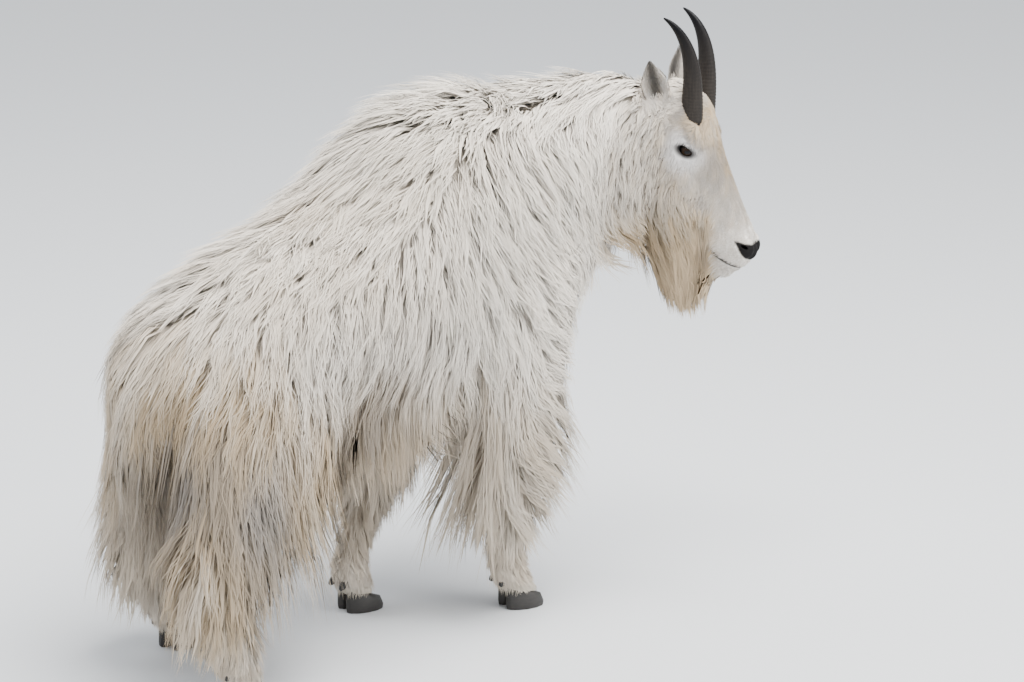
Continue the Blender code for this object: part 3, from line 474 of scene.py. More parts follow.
# The mouth is a groove that follows the lips and stops at a smaller copy of the head.
rings = []
for along, up in finer(MOUTH_LINE, 24):
    half = 0.0004 + 0.0011 * min(1.0, (along - MOUTH_LINE[0][0]) / 0.03)
    rings.append([head_point(along, out, up + lift)
                  for out, lift in ((-0.07, -half), (0.07, -half), (0.07, half), (-0.07, half))])
groove = closed_loft(rings, "mouth_groove")
inner_middle = head_point(0.2, 0.0, -0.02)
inner = head_form()
inner.data.transform(Matrix.Translation(-inner_middle))
inner.data.transform(Matrix.Diagonal((0.80, 0.80, 0.80, 1.0)))
inner.data.transform(Matrix.Translation(inner_middle))
cut_or_join(groove, inner, "DIFFERENCE")
cut_or_join(head_skin, groove, "DIFFERENCE")

# The nostrils are cut, then each eye gets a ball of lid, an opening and a socket.
for side in (1.0, -1.0):
    turn = face_turn(side) @ Matrix.Rotation(math.radians(37.0), 3, "X")
    nostril = ball(head_point(0.2555, side * 0.0235, 0.0150), (0.0110, 0.0088, 0.0040), turn)
    cut_or_join(head_skin, nostril, "DIFFERENCE")
    at = head_point(EYE_ALONG, side * EYE_OUT, EYE_UP)
    cut_or_join(head_skin, ball(at, (EYE_RADIUS + LID,) * 3, segments=48), "UNION")
    slant = face_turn(side) @ Matrix.Rotation(LID_SLANT, 3, "X")
    opening = head_point(EYE_ALONG, side * (EYE_OUT + EYE_RADIUS), EYE_UP)
    cut_or_join(head_skin, ball(opening, (0.012, LID_HALF_HEIGHT, LID_HALF_LENGTH), slant, 40),
                "DIFFERENCE")
    cut_or_join(head_skin, ball(at, (EYE_RADIUS + EYE_GAP,) * 3, segments=48), "DIFFERENCE")

skin = remeshed(body_forms(SKIN_REACH), "skin", BODY_VOXEL, 6)
cut_or_join(skin, head_skin, "UNION")
outer = remeshed(body_forms(1.0) + [head_form(), ruff_form(1.0, -1.0)], "outer_form", OUTER_VOXEL, 2)


def numbers_of(mesh):
    points = np.empty(len(mesh.vertices) * 3)
    mesh.vertices.foreach_get("co", points)
    mesh.calc_loop_triangles()
    corners = np.empty(len(mesh.loop_triangles) * 3, dtype=np.int32)
    mesh.loop_triangles.foreach_get("vertices", corners)
    return points.reshape(-1, 3), corners.reshape(-1, 3)


def tree_from(piece):
    points, corners = numbers_of(piece.data)
    return BVHTree.FromPolygons([tuple(point) for point in points], [tuple(row) for row in corners])


def smoothstep(low, high, value):
    share = np.clip((value - low) / (high - low), 0.0, 1.0)
    return share * share * (3.0 - 2.0 * share)


def unit(rows):
    return rows / np.maximum(np.linalg.norm(rows, axis=-1, keepdims=True), 1e-9)


def swirl(points, scale, phase):
    a = np.sin(points[:, 0] * scale + 1.7 * np.sin(points[:, 1] * scale * 0.7 + phase))
    b = np.sin(points[:, 1] * scale * 0.9 + 1.3 * np.sin(points[:, 2] * scale * 0.8 + 2.0 * phase))
    c = np.sin(points[:, 2] * scale * 1.1 + 1.5 * np.sin(points[:, 0] * scale * 0.6 + 3.0 * phase))
    return (a + b + c) / 3.0


def mottle(points, scale, phase):
    return 0.5 + 0.5 * swirl(points, scale, phase)


def near(points, place, radii):
    offset = (points - np.array(place)) / np.array(radii)
    return np.exp(-np.sum(offset * offset, axis=-1))


BROW = np.array(HEAD_AT)
AHEAD = np.array(HEAD_FORWARD)
RIGHTWARD = np.array(HEAD_RIGHT)
DOWN_FACE = np.array(FACE_AXIS)
UP_FACE = np.array(FACE_UP)
HEAD_PLANE = BROW - AHEAD * 0.075
HEAD_PLANE_OUT = AHEAD * 0.993 - np.array((0.0, 0.0, 0.120))
EAR_ROOTS = {side: [np.array(row) for row in ear_axes(side)] for side in (1.0, -1.0)}


def head_places(points):
    offset = points - BROW
    return {
        "ahead": offset @ AHEAD,
        "right": offset @ RIGHTWARD,
        "rise": offset[:, 2],
        "along": offset @ DOWN_FACE,
        "up": offset @ UP_FACE,
        "in_head": smoothstep(-0.012, 0.012, (points - HEAD_PLANE) @ HEAD_PLANE_OUT),
    }


def ear_share(points):
    share = np.zeros(len(points))
    inner = np.zeros(len(points))
    lengthwise = np.zeros(len(points))
    for root, along, open_to, across in EAR_ROOTS.values():
        offset = points - root
        length = offset @ along
        wide = np.abs(offset @ across)
        deep = offset @ open_to
        inside = ((length > 0.012) & (length < EAR_LENGTH * 1.03) & (wide < EAR_WIDTH * 0.62)
                  & (np.abs(deep) < EAR_WIDTH * 0.75))
        share = np.where(inside, 1.0, share)
        lengthwise = np.where(inside, length / EAR_LENGTH, lengthwise)
        edge = EAR_WIDTH * 0.5 * (0.42 + 2.3 * length / EAR_LENGTH * (1.0 - length / EAR_LENGTH))
        hollow = inside & (wide < edge - 0.0035) & (deep > -edge * 0.80) & (length > 0.028)
        inner = np.where(hollow, np.exp(-np.abs(wide / (edge * 0.60)) ** 3), inner)
    return share, inner, lengthwise


# Stains, and in the grey rows painted shade: amount, middle, radii, and the even and the patchy share of
# the amount.
TAN_STAINS = (
    (1.015, (-0.20, 0.36, 0.47), (0.13, 0.14, 0.15), 0.2, 1.1),
    (0.6525, (-0.14, 0.36, 0.22), (0.12, 0.12, 0.12), 0.5, 1.0),
    (1.2325, (-0.20, 0.03, 0.41), (0.09, 0.12, 0.085), 0.5, 1.0),
    (0.348, (-0.10, 0.12, 0.78), (0.22, 0.36, 0.18), 0.4, 0.9),
    (0.435, (0.0, 0.10, 0.40), (0.30, 0.30, 0.06), 1.0, 0.0),
    (0.870, (0.02, 0.42, 0.49), (0.22, 0.13, 0.14), 0.15, 1.1),
    (0.450, (-0.18, 0.30, 0.36), (0.16, 0.16, 0.14), 0.0, 1.0),
)
# Grey: painted shade on the hind thigh, where its tiers of hair shade each other, then darker grey in the
# belly patch.
GREY_SHADE_AND_STAINS = (
    (1.60, (-0.14, 0.38, 0.36), (0.26, 0.19, 0.095), 0.0, 1.0),
    (0.85, (-0.20, 0.03, 0.42), (0.12, 0.12, 0.10), 0.0, 1.0),
)
MOSS_STAIN = (0.12, (-0.1, -0.15, 0.88), (0.12, 0.12, 0.08), 1.0, 0.0)
# Stains of the face, by distance down it and height off its axis.
FACE_TAN = (
    (0.80, (0.095, 0.046), (0.090, 0.022), 0.35, 1.0),
    (0.60, (0.012, 0.045), (0.030, 0.030), 1.0, 0.0),
    (0.40, (0.130, -0.060), (0.060, 0.030), 0.3, 1.0),
)
FACE_GREY = (
    (0.34, (0.120, 0.028), (0.100, 0.022), 1.0, 0.0),
    (0.45, (0.240, -0.052), (0.040, 0.020), 1.0, 0.0),
)
PALE_ROUND_EYE = 0.034
TAN_ROUND_EYE = 0.062


# Sums of soft spots, of stain or of painted shade.
def stains_and_shade(rows, places, patchy):
    return sum(amount * near(places, middle, radii) * (even + share * patchy)
               for amount, middle, radii, even, share in rows)


def beard_place(head):
    """How far a place is in the beard, from none at 0 to well inside it at 1."""
    rise = head["rise"]
    ahead = head["ahead"]
    beard = head["in_head"] * smoothstep(-0.11, -0.24, rise) * smoothstep(0.085, 0.065, ahead)
    return beard * smoothstep(-0.400, -0.365, rise) * smoothstep(-0.105, -0.085, ahead)


def ruff_seam(points, head):
    """The shaded seam behind the ruff, where it meets the neck."""
    seam = near(np.stack([head["ahead"], head["rise"]], axis=1), (-0.098, -0.12), (0.016, 0.10))
    return seam * smoothstep(0.095, 0.085, np.abs(head["right"])) * smoothstep(-0.50, -0.56, points[:, 1])


def markings(points):
    head = head_places(points)
    in_head = head["in_head"]
    up = head["up"]
    along = head["along"]
    right = np.abs(head["right"])
    face = np.stack([along, up], axis=1)
    z = points[:, 2]
    strands = points * (1.0, 1.0, 0.4)
    patch = np.clip(0.5 + 0.4 * swirl(points, 38.0, 0.4) + 0.3 * swirl(strands, 150.0, 1.2), 0.0, 1.0)
    shade = mottle(points * (1.0, 1.0, 0.5), 30.0, 0.9)
    streak = np.clip(0.5 + 0.35 * swirl(points * (1.0, 1.0, 0.35), 95.0, 1.7)
                     + 0.60 * swirl(strands, 310.0, 0.6), 0.0, 1.0)
    off_muzzle = in_head * smoothstep(0.235, 0.20, along)

    eye = np.stack([along - EYE_ALONG, up - EYE_UP, right - EYE_OUT - 0.012], axis=1)
    from_eye = np.linalg.norm(eye * (0.85, 1.1, 0.6), axis=1)
    pale = in_head * np.exp(-(from_eye / PALE_ROUND_EYE) ** 4)
    halo = in_head * np.clip(np.exp(-(from_eye / TAN_ROUND_EYE) ** 4) - pale, 0.0, 1.0)
    lengthwise = eye[:, 1] * math.cos(LID_SLANT) - eye[:, 0] * math.sin(LID_SLANT)
    crosswise = eye[:, 0] * math.cos(LID_SLANT) + eye[:, 1] * math.sin(LID_SLANT)
    rim = in_head * np.exp(-((lengthwise / 0.0225) ** 2 + (crosswise / 0.0140) ** 2) ** 3)
    rim = rim * (np.abs(eye[:, 2]) < 0.02)
    corner = in_head * near(face, (EYE_ALONG - 0.020, EYE_UP + 0.016), (0.006, 0.007))

    tan = stains_and_shade(TAN_STAINS, points, patch) + 0.609 * smoothstep(0.50, 0.30, z) * (0.5 + 0.6 * patch)
    tan = tan + in_head * stains_and_shade(FACE_TAN, face, patch) + 0.95 * beard_place(head)
    tan = tan + 0.34 * (1.0 - streak) * off_muzzle + 0.34 * halo
    # Grey: painted shade on the thigh and in the seam behind the ruff, darker grey towards the bottom and
    # in the belly patch, and the face's own grey.
    grey = stains_and_shade(GREY_SHADE_AND_STAINS, points, shade) + 0.30 * shade * smoothstep(0.46, 0.34, z)
    grey = grey + in_head * stains_and_shade(FACE_GREY, face, patch) + 0.60 * ruff_seam(points, head)
    grey = grey + 0.40 * streak * off_muzzle + 0.12 * halo
    before_ear = near(np.stack([along, up, right], axis=1), (-0.018, 0.036, 0.045), (0.022, 0.030, 0.03))
    grey = grey + 0.55 * in_head * before_ear
    elbow = near(points, (-0.2, -0.02, 0.48), (0.1, 0.16, 0.12))
    wet = near(points, (-0.2, 0.02, 0.43), (0.06, 0.06, 0.04))
    grey = grey + 0.22 * mottle(points, 21.0, 2.2) * elbow + 0.5 * mottle(points, 90.0, 0.0) * wet

    nose = (in_head * smoothstep(-0.003, 0.002, (along - 0.2425) - (up - 0.009) / 1.2)
            * smoothstep(0.001, 0.005, up))
    mouth = np.interp(along, *zip(*MOUTH_LINE))
    lips = in_head * smoothstep(0.236, 0.244, along) * np.exp(-((up - mouth) / 0.0042) ** 2)
    ear_hollow = ear_share(points)[1]
    dark = np.maximum.reduce([nose, lips, ear_hollow * 0.90, rim, corner * 0.65])
    return {
        "tan": np.clip(tan, 0.0, 1.0),
        "grey": np.clip(grey, 0.0, 1.0),
        "pale": np.clip(pale, 0.0, 1.0),
        "dark": np.clip(dark, 0.0, 1.0),
        "green": stains_and_shade((MOSS_STAIN,), points, 0.0),
        "hoof_band": smoothstep(0.062, 0.050, z),
    }


MARKS = ("tan", "grey", "pale", "dark", "green", "hoof_band")


def give_marks(mesh, values):
    for name, value in values.items():
        layer = mesh.attributes.new(name, "FLOAT", "POINT")
        layer.data.foreach_set("value", np.asarray(value, dtype=np.float32).reshape(-1))


skin_tree = tree_from(skin)
outer_tree = tree_from(outer)
bpy.data.objects.remove(outer, do_unlink=True)
select_only(skin)
bpy.ops.object.mode_set(mode="EDIT")
bpy.ops.mesh.select_all(action="SELECT")
bpy.ops.uv.smart_project(angle_limit=math.radians(66.0), island_margin=0.001)
bpy.ops.object.mode_set(mode="OBJECT")
skin.data.uv_layers[0].name = "OFBake"
skin.data.shade_smooth()
skin_points, skin_corners = numbers_of(skin.data)
triangle_loops = np.empty(len(skin.data.loop_triangles) * 3, dtype=np.int32)
skin.data.loop_triangles.foreach_get("loops", triangle_loops)
triangle_loops = triangle_loops.reshape(-1, 3)
loop_uvs = np.empty(len(skin.data.loops) * 2)
skin.data.uv_layers["OFBake"].data.foreach_get("uv", loop_uvs)
loop_uvs = loop_uvs.reshape(-1, 2)
give_marks(skin.data, markings(skin_points))
skin.data.transform(Matrix.Translation(FRAME_SHIFT))
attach(skin, "root")
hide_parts("torso", "neck", "head", "tail", "ear_right", "ear_left", "leg_front_right",
            "leg_front_left", "leg_hind_right", "leg_hind_left")


class Flow:
    """One socket of a finish, with the sums that the finishes need."""

    def __init__(self, tree, socket=None):
        self.tree = tree
        self.socket = socket

    def feed(self, node, **links):
        for name, value in links.items():
            target = node.inputs[int(name[1:]) if name[1:].isdigit() else name.replace("_", " ")]
            if isinstance(value, Flow):
                self.tree.links.new(value.socket, target)
            else:
                target.default_value = value

    def node(self, kind, settings=None, **links):
        made = self.tree.nodes.new(kind)
        for name, value in (settings or {}).items():
            setattr(made, name, value)
        self.feed(made, **links)
        return made

    def maths(self, operation, first, second, clamp=False):
        made = self.node("ShaderNodeMath", {"operation": operation, "use_clamp": clamp},
                         i0=first, i1=second)
        return Flow(self.tree, made.outputs[0])

    def __add__(self, other):
        return self.maths("ADD", self, other)

    __radd__ = __add__

    def __sub__(self, other):
        return self.maths("SUBTRACT", self, other)

    def __rsub__(self, other):
        return self.maths("SUBTRACT", other, self)

    def __mul__(self, other):
        return self.maths("MULTIPLY", self, other)

    __rmul__ = __mul__

    def __pow__(self, power):
        return self.maths("POWER", self, power)

    def tint(self, first, second):
        """The first colour where this is 0 and the second where it is 1."""
        made = self.node("ShaderNodeMix", {"data_type": "RGBA"}, i0=self, i6=first, i7=second)
        return Flow(self.tree, made.outputs[2])


def new_finish(name):
    material = bpy.data.materials.new(name)
    material.use_nodes = True
    return material, Flow(material.node_tree), material.node_tree.nodes["Principled BSDF"]


def mark(flow, name):
    made = flow.node("ShaderNodeAttribute", {"attribute_name": name})
    return Flow(flow.tree, made.outputs["Fac"])


def grain(flow, scale, detail, stretch=(1.0, 1.0, 1.0)):
    place = flow.node("ShaderNodeTexCoord")
    moved = flow.node("ShaderNodeMapping", Vector=Flow(flow.tree, place.outputs["Object"]), Scale=stretch)
    made = flow.node("ShaderNodeTexNoise", Vector=Flow(flow.tree, moved.outputs[0]), Scale=scale,
                     Detail=detail, Roughness=0.55)
    return Flow(flow.tree, made.outputs[0])


def ridged(flow, height, strength, distance):
    made = flow.node("ShaderNodeBump", Height=height, Strength=strength, Distance=distance)
    return Flow(flow.tree, made.outputs[0])


TAN = (0.50, 0.375, 0.235, 1.0)
GREY = (0.28, 0.25, 0.22, 1.0)
PALE = (0.86, 0.83, 0.81, 1.0)
DARK = (0.012, 0.011, 0.011, 1.0)
MOSS = (0.10, 0.11, 0.05, 1.0)
PASTERN = (0.60, 0.54, 0.44, 1.0)


def marked(flow, colour):
    for name, stain in (("tan", TAN), ("grey", GREY), ("pale", PALE), ("hoof_band", PASTERN),
                        ("green", MOSS), ("dark", DARK)):
        colour = mark(flow, name).tint(colour, stain)
    return colour


SHORT_ROOT = (0.60, 0.53, 0.45, 1.0)
SHORT_TIP = (0.95, 0.91, 0.85, 1.0)
SHADE_UNDER_LONG_HAIR = (0.68, 0.61, 0.52, 1.0)
hide, flow, shader = new_finish("short_coat")
strands = grain(flow, 900.0, 2.0, (1.0, 1.0, 0.35)) * 0.55
strands = strands + grain(flow, 210.0, 4.0, (1.0, 1.0, 0.30)) * 0.55
sharp = flow.maths("ADD", (strands - 0.55) * 5.0, 0.60, clamp=True)
# Where long hair lies over it, the skin is darkened to a painted shade.
base = mark(flow, "below").tint(sharp.tint(SHORT_ROOT, SHORT_TIP), SHADE_UNDER_LONG_HAIR)
flow.feed(shader, Base_Color=marked(flow, base), Roughness=0.82, Specular_IOR_Level=0.08,
          Normal=ridged(flow, strands, 0.7, 0.0016))
skin.data.materials.clear()
skin.data.polygons.foreach_set("material_index", np.zeros(len(skin.data.polygons), dtype=np.int32))
skin.data.materials.append(hide)


# The coat: long guard hair in locks that bend and overlap along its lie, over the whole goat, short on
# the face and lower legs. Each lock gathers round a guide that follows the body, hangs where the body
# turns under, and ends on the outline of the full coat. All of it is thin, closed, tapered tufts.
SEED = 5
GUIDE_STEPS = 8
# Lean of the hair to the rear for each step down, by y, on the flanks and on the back.
FLANK_LEAN = ((-0.68, 0.25), (-0.60, 0.12), (-0.54, -0.10), (-0.46, -0.32), (-0.38, -0.32), (-0.26, -0.08),
              (-0.15, 0.18), (0.0, 0.30), (0.15, 0.38), (0.30, 0.52), (0.42, 0.62))
TOP_LEAN = ((-0.66, 0.80), (-0.50, 0.80), (-0.38, 0.85), (-0.20, 0.90), (0.0, 0.95), (0.30, 1.0))
# Length of the hair up the legs, by height.
HIND_HAIR = ((0.05, 0.020), (0.08, 0.028), (0.12, 0.060), (0.17, 0.105), (0.24, 0.145), (0.34, 0.165),
             (0.44, 0.165))
FRONT_HAIR = ((0.05, 0.020), (0.08, 0.027), (0.13, 0.040), (0.18, 0.080), (0.25, 0.135), (0.34, 0.170),
              (0.44, 0.165))
BODY_HAIR = 0.128
HIND_LEGS_FROM = 0.12
FAR_FRONT_LEG_FROM = -0.03
# Hair longer than this grows in locks, and the short coat overlaps it a little.
LONG_FROM = 0.024
SHORT_UP_TO = 0.026


def from_table(table, value):
    return np.interp(value, *zip(*table))


def blended(first, second, share):
    share = share[:, None]
    return first * (1.0 - share) + second * share


def leg_flare(points, normals):
    x = points[:, 0]
    y = points[:, 1]
    z = points[:, 2]
    leg = smoothstep(0.50, 0.42, z)
    hind = y > HIND_LEGS_FROM
    near_front = (~hind) & (x < FAR_FRONT_LEG_FROM)
    behind = smoothstep(-0.1, 0.8, normals[:, 1])
    hock = np.exp(-((z - 0.24) / 0.07) ** 2)
    before = smoothstep(0.1, -0.7, normals[:, 1])
    flare = np.where(hind, 0.26 + 0.18 * behind + 0.22 * before + 0.26 * hock,
                     np.where(near_front, 0.26 + 0.84 * behind + 0.16 * before, 0.20))
    inner = smoothstep(0.1, 0.8, -np.sign(x) * normals[:, 0])
    flare = flare * (1.0 - 0.6 * inner) * smoothstep(0.05, 0.18, z)
    flare = flare * (1.0 - 0.5 * smoothstep(0.38, 0.48, z))
    return leg, flare


def face_lie(head, normals):
    """The way the hair lies on the head: down the face, back over the crown, down the cheeks and beard."""
    down = np.array((0.0, 0.0, -1.0))
    sideways = RIGHTWARD * (np.clip(head["right"] / 0.05, -1.0, 1.0) * 0.5)[:, None]
    bridge = smoothstep(0.35, 0.8, normals @ UP_FACE) * smoothstep(0.0, 0.03, head["along"])
    cheek = (-AHEAD * 0.42 + down) + RIGHTWARD * (np.sign(head["right"]) * 0.10)[:, None]
    face = blended(unit(cheek), unit(DOWN_FACE + sideways), bridge)
    poll = (-AHEAD * 0.9 + down * 0.25) + sideways
    crown = smoothstep(0.045, 0.015, head["along"]) * smoothstep(-0.02, 0.02, head["up"])
    face = blended(face, unit(poll), crown)
    muzzle = smoothstep(0.19, 0.23, head["along"])
    face = blended(face, unit(-DOWN_FACE * 0.5 - UP_FACE * 0.8), muzzle * 0.7)
    beard = smoothstep(-0.12, -0.20, head["rise"]) * smoothstep(0.085, 0.055, head["ahead"])
    toward = np.clip((0.030 - head["ahead"]) * 8.0, -0.62, 0.80)
    hang = down + AHEAD * toward[:, None] - RIGHTWARD * (head["right"] * 5.0)[:, None]
    return blended(face, unit(hang), beard)


def lie(points, normals):
    """The way in which the hair lies at each place, as a unit vector."""
    side = np.clip(points[:, 0] / 0.07, -1.0, 1.0)
    y = points[:, 1]
    z = points[:, 2]
    ones = np.ones(len(y))
    flank = np.stack([side * 0.05, from_table(FLANK_LEAN, y), -ones], axis=1)
    top = np.stack([side * 0.40, from_table(TOP_LEAN, y), -0.25 * ones], axis=1)
    flow = blended(unit(flank), unit(top), smoothstep(0.35, 0.85, normals[:, 2]))

    leg, flare = leg_flare(points, normals)
    outward = unit(normals * (1.0, 1.0, 0.0) + 1e-6)
    hind = (y > HIND_LEGS_FROM).astype(float)
    down = outward * flare[:, None] + np.stack([np.zeros(len(y)), 0.06 + 0.08 * hind, -ones], axis=1)
    flow = blended(flow, unit(down), leg)

    head = head_places(points)
    flow = blended(flow, face_lie(head, normals), head["in_head"])
    on_ear = ear_share(points)[0] > 0.5
    for ear_side, (_, along, open_to, _) in EAR_ROOTS.items():
        flow[on_ear & (np.sign(head["right"]) == ear_side)] = along + open_to * 0.12

    offset = points - np.array(TAIL_ROOT)
    tail = (np.abs(offset[:, 0]) < 0.035) & (offset[:, 1] > 0.03) & (offset[:, 2] < -0.005)
    tail = tail & (offset[:, 1] - 0.25 * offset[:, 2] > 0.045)
    flow[tail] = (0.0, 0.18, -1.0)
    rear = smoothstep(0.26, 0.38, y) * smoothstep(0.16, 0.08, np.abs(points[:, 0]))
    rear = rear * smoothstep(0.36, 0.44, z) * smoothstep(0.9, 0.5, normals[:, 2])
    return unit(blended(flow, np.array((0.0, 0.30, -1.0)), rear))


def body_length(points, normals, throat):
    y = points[:, 1]
    top = smoothstep(0.45, 0.85, normals[:, 2])
    belly = smoothstep(-0.2, -0.7, normals[:, 2])
    length = BODY_HAIR + 0.012 * smoothstep(0.10, 0.35, y) - 0.010 * smoothstep(-0.36, -0.46, y)
    length = length * (1.0 - top) + BODY_HAIR * top
    length = length + 0.070 * belly
    length = length + 0.030 * smoothstep(0.55, 0.45, points[:, 2]) * (1.0 - belly)
    length = length * (1.0 - 0.62 * throat)
    return length + 0.035 * smoothstep(0.26, 0.36, y) * smoothstep(0.14, 0.06, np.abs(points[:, 0]))


def leg_length(points, normals):
    z = points[:, 2]
    hind = points[:, 1] > HIND_LEGS_FROM
    length = np.where(hind, from_table(HIND_HAIR, z), from_table(FRONT_HAIR, z))
    hind_front = hind * smoothstep(0.1, -0.6, normals[:, 1]) * smoothstep(0.26, 0.38, z)
    fore_back = (~hind) * smoothstep(0.0, 0.7, normals[:, 1]) * smoothstep(0.20, 0.30, z)
    length = length * (1.0 + 0.30 * hind_front + 0.46 * fore_back)
    far_shin = (~hind) & (points[:, 0] > FAR_FRONT_LEG_FROM)
    return np.where(far_shin, length * np.interp(z, (0.10, 0.20, 0.30), (1.0, 0.6, 0.8)), length)


def face_length(head, beard):
    along = head["along"]
    up = head["up"]
    length = 0.0105 - 0.0035 * smoothstep(0.14, 0.24, along)
    low_cheek = smoothstep(0.000, -0.075, up) * smoothstep(0.185, 0.10, along)
    back_cheek = smoothstep(0.035, -0.02, along) * smoothstep(0.03, -0.02, up)
    length = length + 0.048 * low_cheek + 0.028 * back_cheek * (1.0 - low_cheek)
    length = length + 0.020 * smoothstep(0.02, -0.03, along) * smoothstep(0.0, 0.03, up)
    length = length + 0.022 * near(np.stack([along, up], axis=1), (0.030, 0.052), (0.020, 0.022))
    beard_length = np.clip((head["rise"] + 0.368) * 0.95, 0.034, 0.120)
    return length * (1.0 - beard) + beard_length * beard


def coat_sizes(points, normals):
    """Length and depth of the hair, how far it hangs free or clings, gathers and waves, and its width."""
    y = points[:, 1]
    z = points[:, 2]
    head = head_places(points)
    inside = head["in_head"]
    top = smoothstep(0.45, 0.85, normals[:, 2])
    hump = top * smoothstep(0.0, -0.15, y) * smoothstep(-0.50, -0.38, y)
    throat = smoothstep(0.45, 0.0, normals[:, 2]) * smoothstep(-0.50, -0.58, y) * (1.0 - inside)
    beard = smoothstep(-0.13, -0.21, head["rise"]) * smoothstep(0.090, 0.065, head["ahead"])
    leg = leg_flare(points, normals)[0]
    length = body_length(points, normals, throat) * (1.0 - leg) + leg_length(points, normals) * leg
    length = length * (1.0 - inside) + face_length(head, beard) * inside
    share, inner, lengthwise = ear_share(points)
    length = np.where(share > 0.5, 0.0125 - 0.004 * lengthwise + 0.006 * inner, length)

    depth = np.array([outer_tree.find_nearest(point)[3] for point in points])
    depth = depth * (1.10 + 0.04 * top) + 0.005 * leg
    depth = np.clip(depth, 0.0022, length * 0.8)
    depth = np.where(share > 0.5, 0.0035, depth)
    depth = np.where(length < 0.03, np.minimum(depth, length * 0.32), depth)

    free_leg = leg * smoothstep(0.09, 0.17, z) * (1.0 - inside)
    free_rear = smoothstep(0.32, 0.39, y) * smoothstep(0.58, 0.50, z)
    free_beard = inside * beard * smoothstep(-0.19, -0.25, head["rise"])
    return {
        "length": length,
        "depth": depth,
        "hump": hump * 0.3,
        "cling": throat,
        "free": np.maximum.reduce([free_leg, free_rear, free_beard]),
        "gather": np.interp(length, (0.01, 0.03, 0.08), (0.0, 0.35, 0.72)) * (1.0 - 0.6 * hump),
        "wave": np.interp(length, (0.01, 0.05, 0.12), (0.0005, 0.0022, 0.0062)),
        "wide": np.interp(length, (0.008, 0.02, 0.06, 0.12), (0.0012, 0.0015, 0.0019, 0.0023)),
    }


skin_tris = skin_points[skin_corners]
tri_normals = np.cross(skin_tris[:, 1] - skin_tris[:, 0], skin_tris[:, 2] - skin_tris[:, 0])
tri_areas = np.linalg.norm(tri_normals, axis=1) * 0.5
tri_normals = unit(tri_normals)
tri_middles = skin_tris.mean(axis=1)
rng = np.random.default_rng(SEED)


def skin_spots(weights, count):
    """Random places on the skin, with its normal and its UV there."""
    share = np.cumsum(tri_areas * weights)
    picks = np.searchsorted(share, rng.random(count) * share[-1])
    u = rng.random(count)
    v = rng.random(count)
    over = u + v > 1.0
    u[over] = 1.0 - u[over]
    v[over] = 1.0 - v[over]
    u = u[:, None]
    v = v[:, None]
    w = 1.0 - u - v
    tris = skin_tris[picks]
    uvs = loop_uvs[triangle_loops[picks]]
    return (tris[:, 0] * w + tris[:, 1] * u + tris[:, 2] * v, tri_normals[picks],
            uvs[:, 0] * w + uvs[:, 1] * u + uvs[:, 2] * v)


def tree_of(points):
    tree = KDTree(len(points))
    for index, point in enumerate(points):
        tree.insert(point, index)
    tree.balance()
    return tree


def thinned(points, spacing):
    """The points that are left when none is nearer to an earlier one than its spacing."""
    tree = tree_of(points)
    kept = np.ones(len(points), dtype=bool)
    for index, point in enumerate(points):
        if not kept[index]:
            continue
        for _, other, _ in tree.find_range(point, spacing[index]):
            if other > index:
                kept[other] = False
    return np.nonzero(kept)[0]


def nearest_skin(points):
    places = np.empty_like(points)
    normals = np.empty_like(points)
    for index, point in enumerate(points):
        place, normal, _, _ = skin_tree.find_nearest(point)
        places[index] = place
        normals[index] = normal
    return places, normals


def guide_paths(roots, normals, sizes, turn):
    """A path for each root that follows the lie of the coat, and the outward way along it."""
    at = roots.copy()
    out = normals.copy()
    paths = [roots - normals * ROOT_SINK]
    outs = [normals.copy()]
    step = (sizes["length"] / GUIDE_STEPS)[:, None]
    for number in range(1, GUIDE_STEPS + 1):
        share = number / GUIDE_STEPS
        way = lie(at, out)
        way = way + np.cross(out, way) * turn[:, None]
        way = way - np.array((0.0, 0.0, 1.0)) * (sizes["free"] * share * 0.8)[:, None]
        hold = (np.interp(out[:, 2], (-0.6, -0.1), (0.10, 0.92)) * (1.0 - sizes["free"]))[:, None]
        hold = np.maximum(hold, 0.95 * sizes["cling"][:, None])
        way = unit(way - out * np.sum(way * out, axis=1, keepdims=True) * hold)
        moved = at + way * step
        place, face = nearest_skin(moved)
        height = sizes["depth"] * (share ** (0.62 - 0.25 * sizes["hump"]))
        signed = np.sum((moved - place) * face, axis=1)
        follow = smoothstep(-0.55, -0.10, face[:, 2]) * 0.7 * (1.0 - sizes["free"])
        follow = np.maximum(follow, 0.8 * sizes["cling"])
        pull = np.where(signed < height, 1.0, follow)
        moved = blended(moved, place + face * height[:, None], pull)
        at = at + unit(moved - at) * step
        out = unit(out * 0.5 + face * 0.5)
        paths.append(at)
        outs.append(out)
    return np.stack(paths, axis=1), np.stack(outs, axis=1)


def at_share(rows, owners, share):
    place = np.clip(share, 0.0, 1.08) * GUIDE_STEPS
    low = np.clip(place.astype(int), 0, GUIDE_STEPS - 1)
    return blended(rows[owners, low], rows[owners, low + 1], place - low)


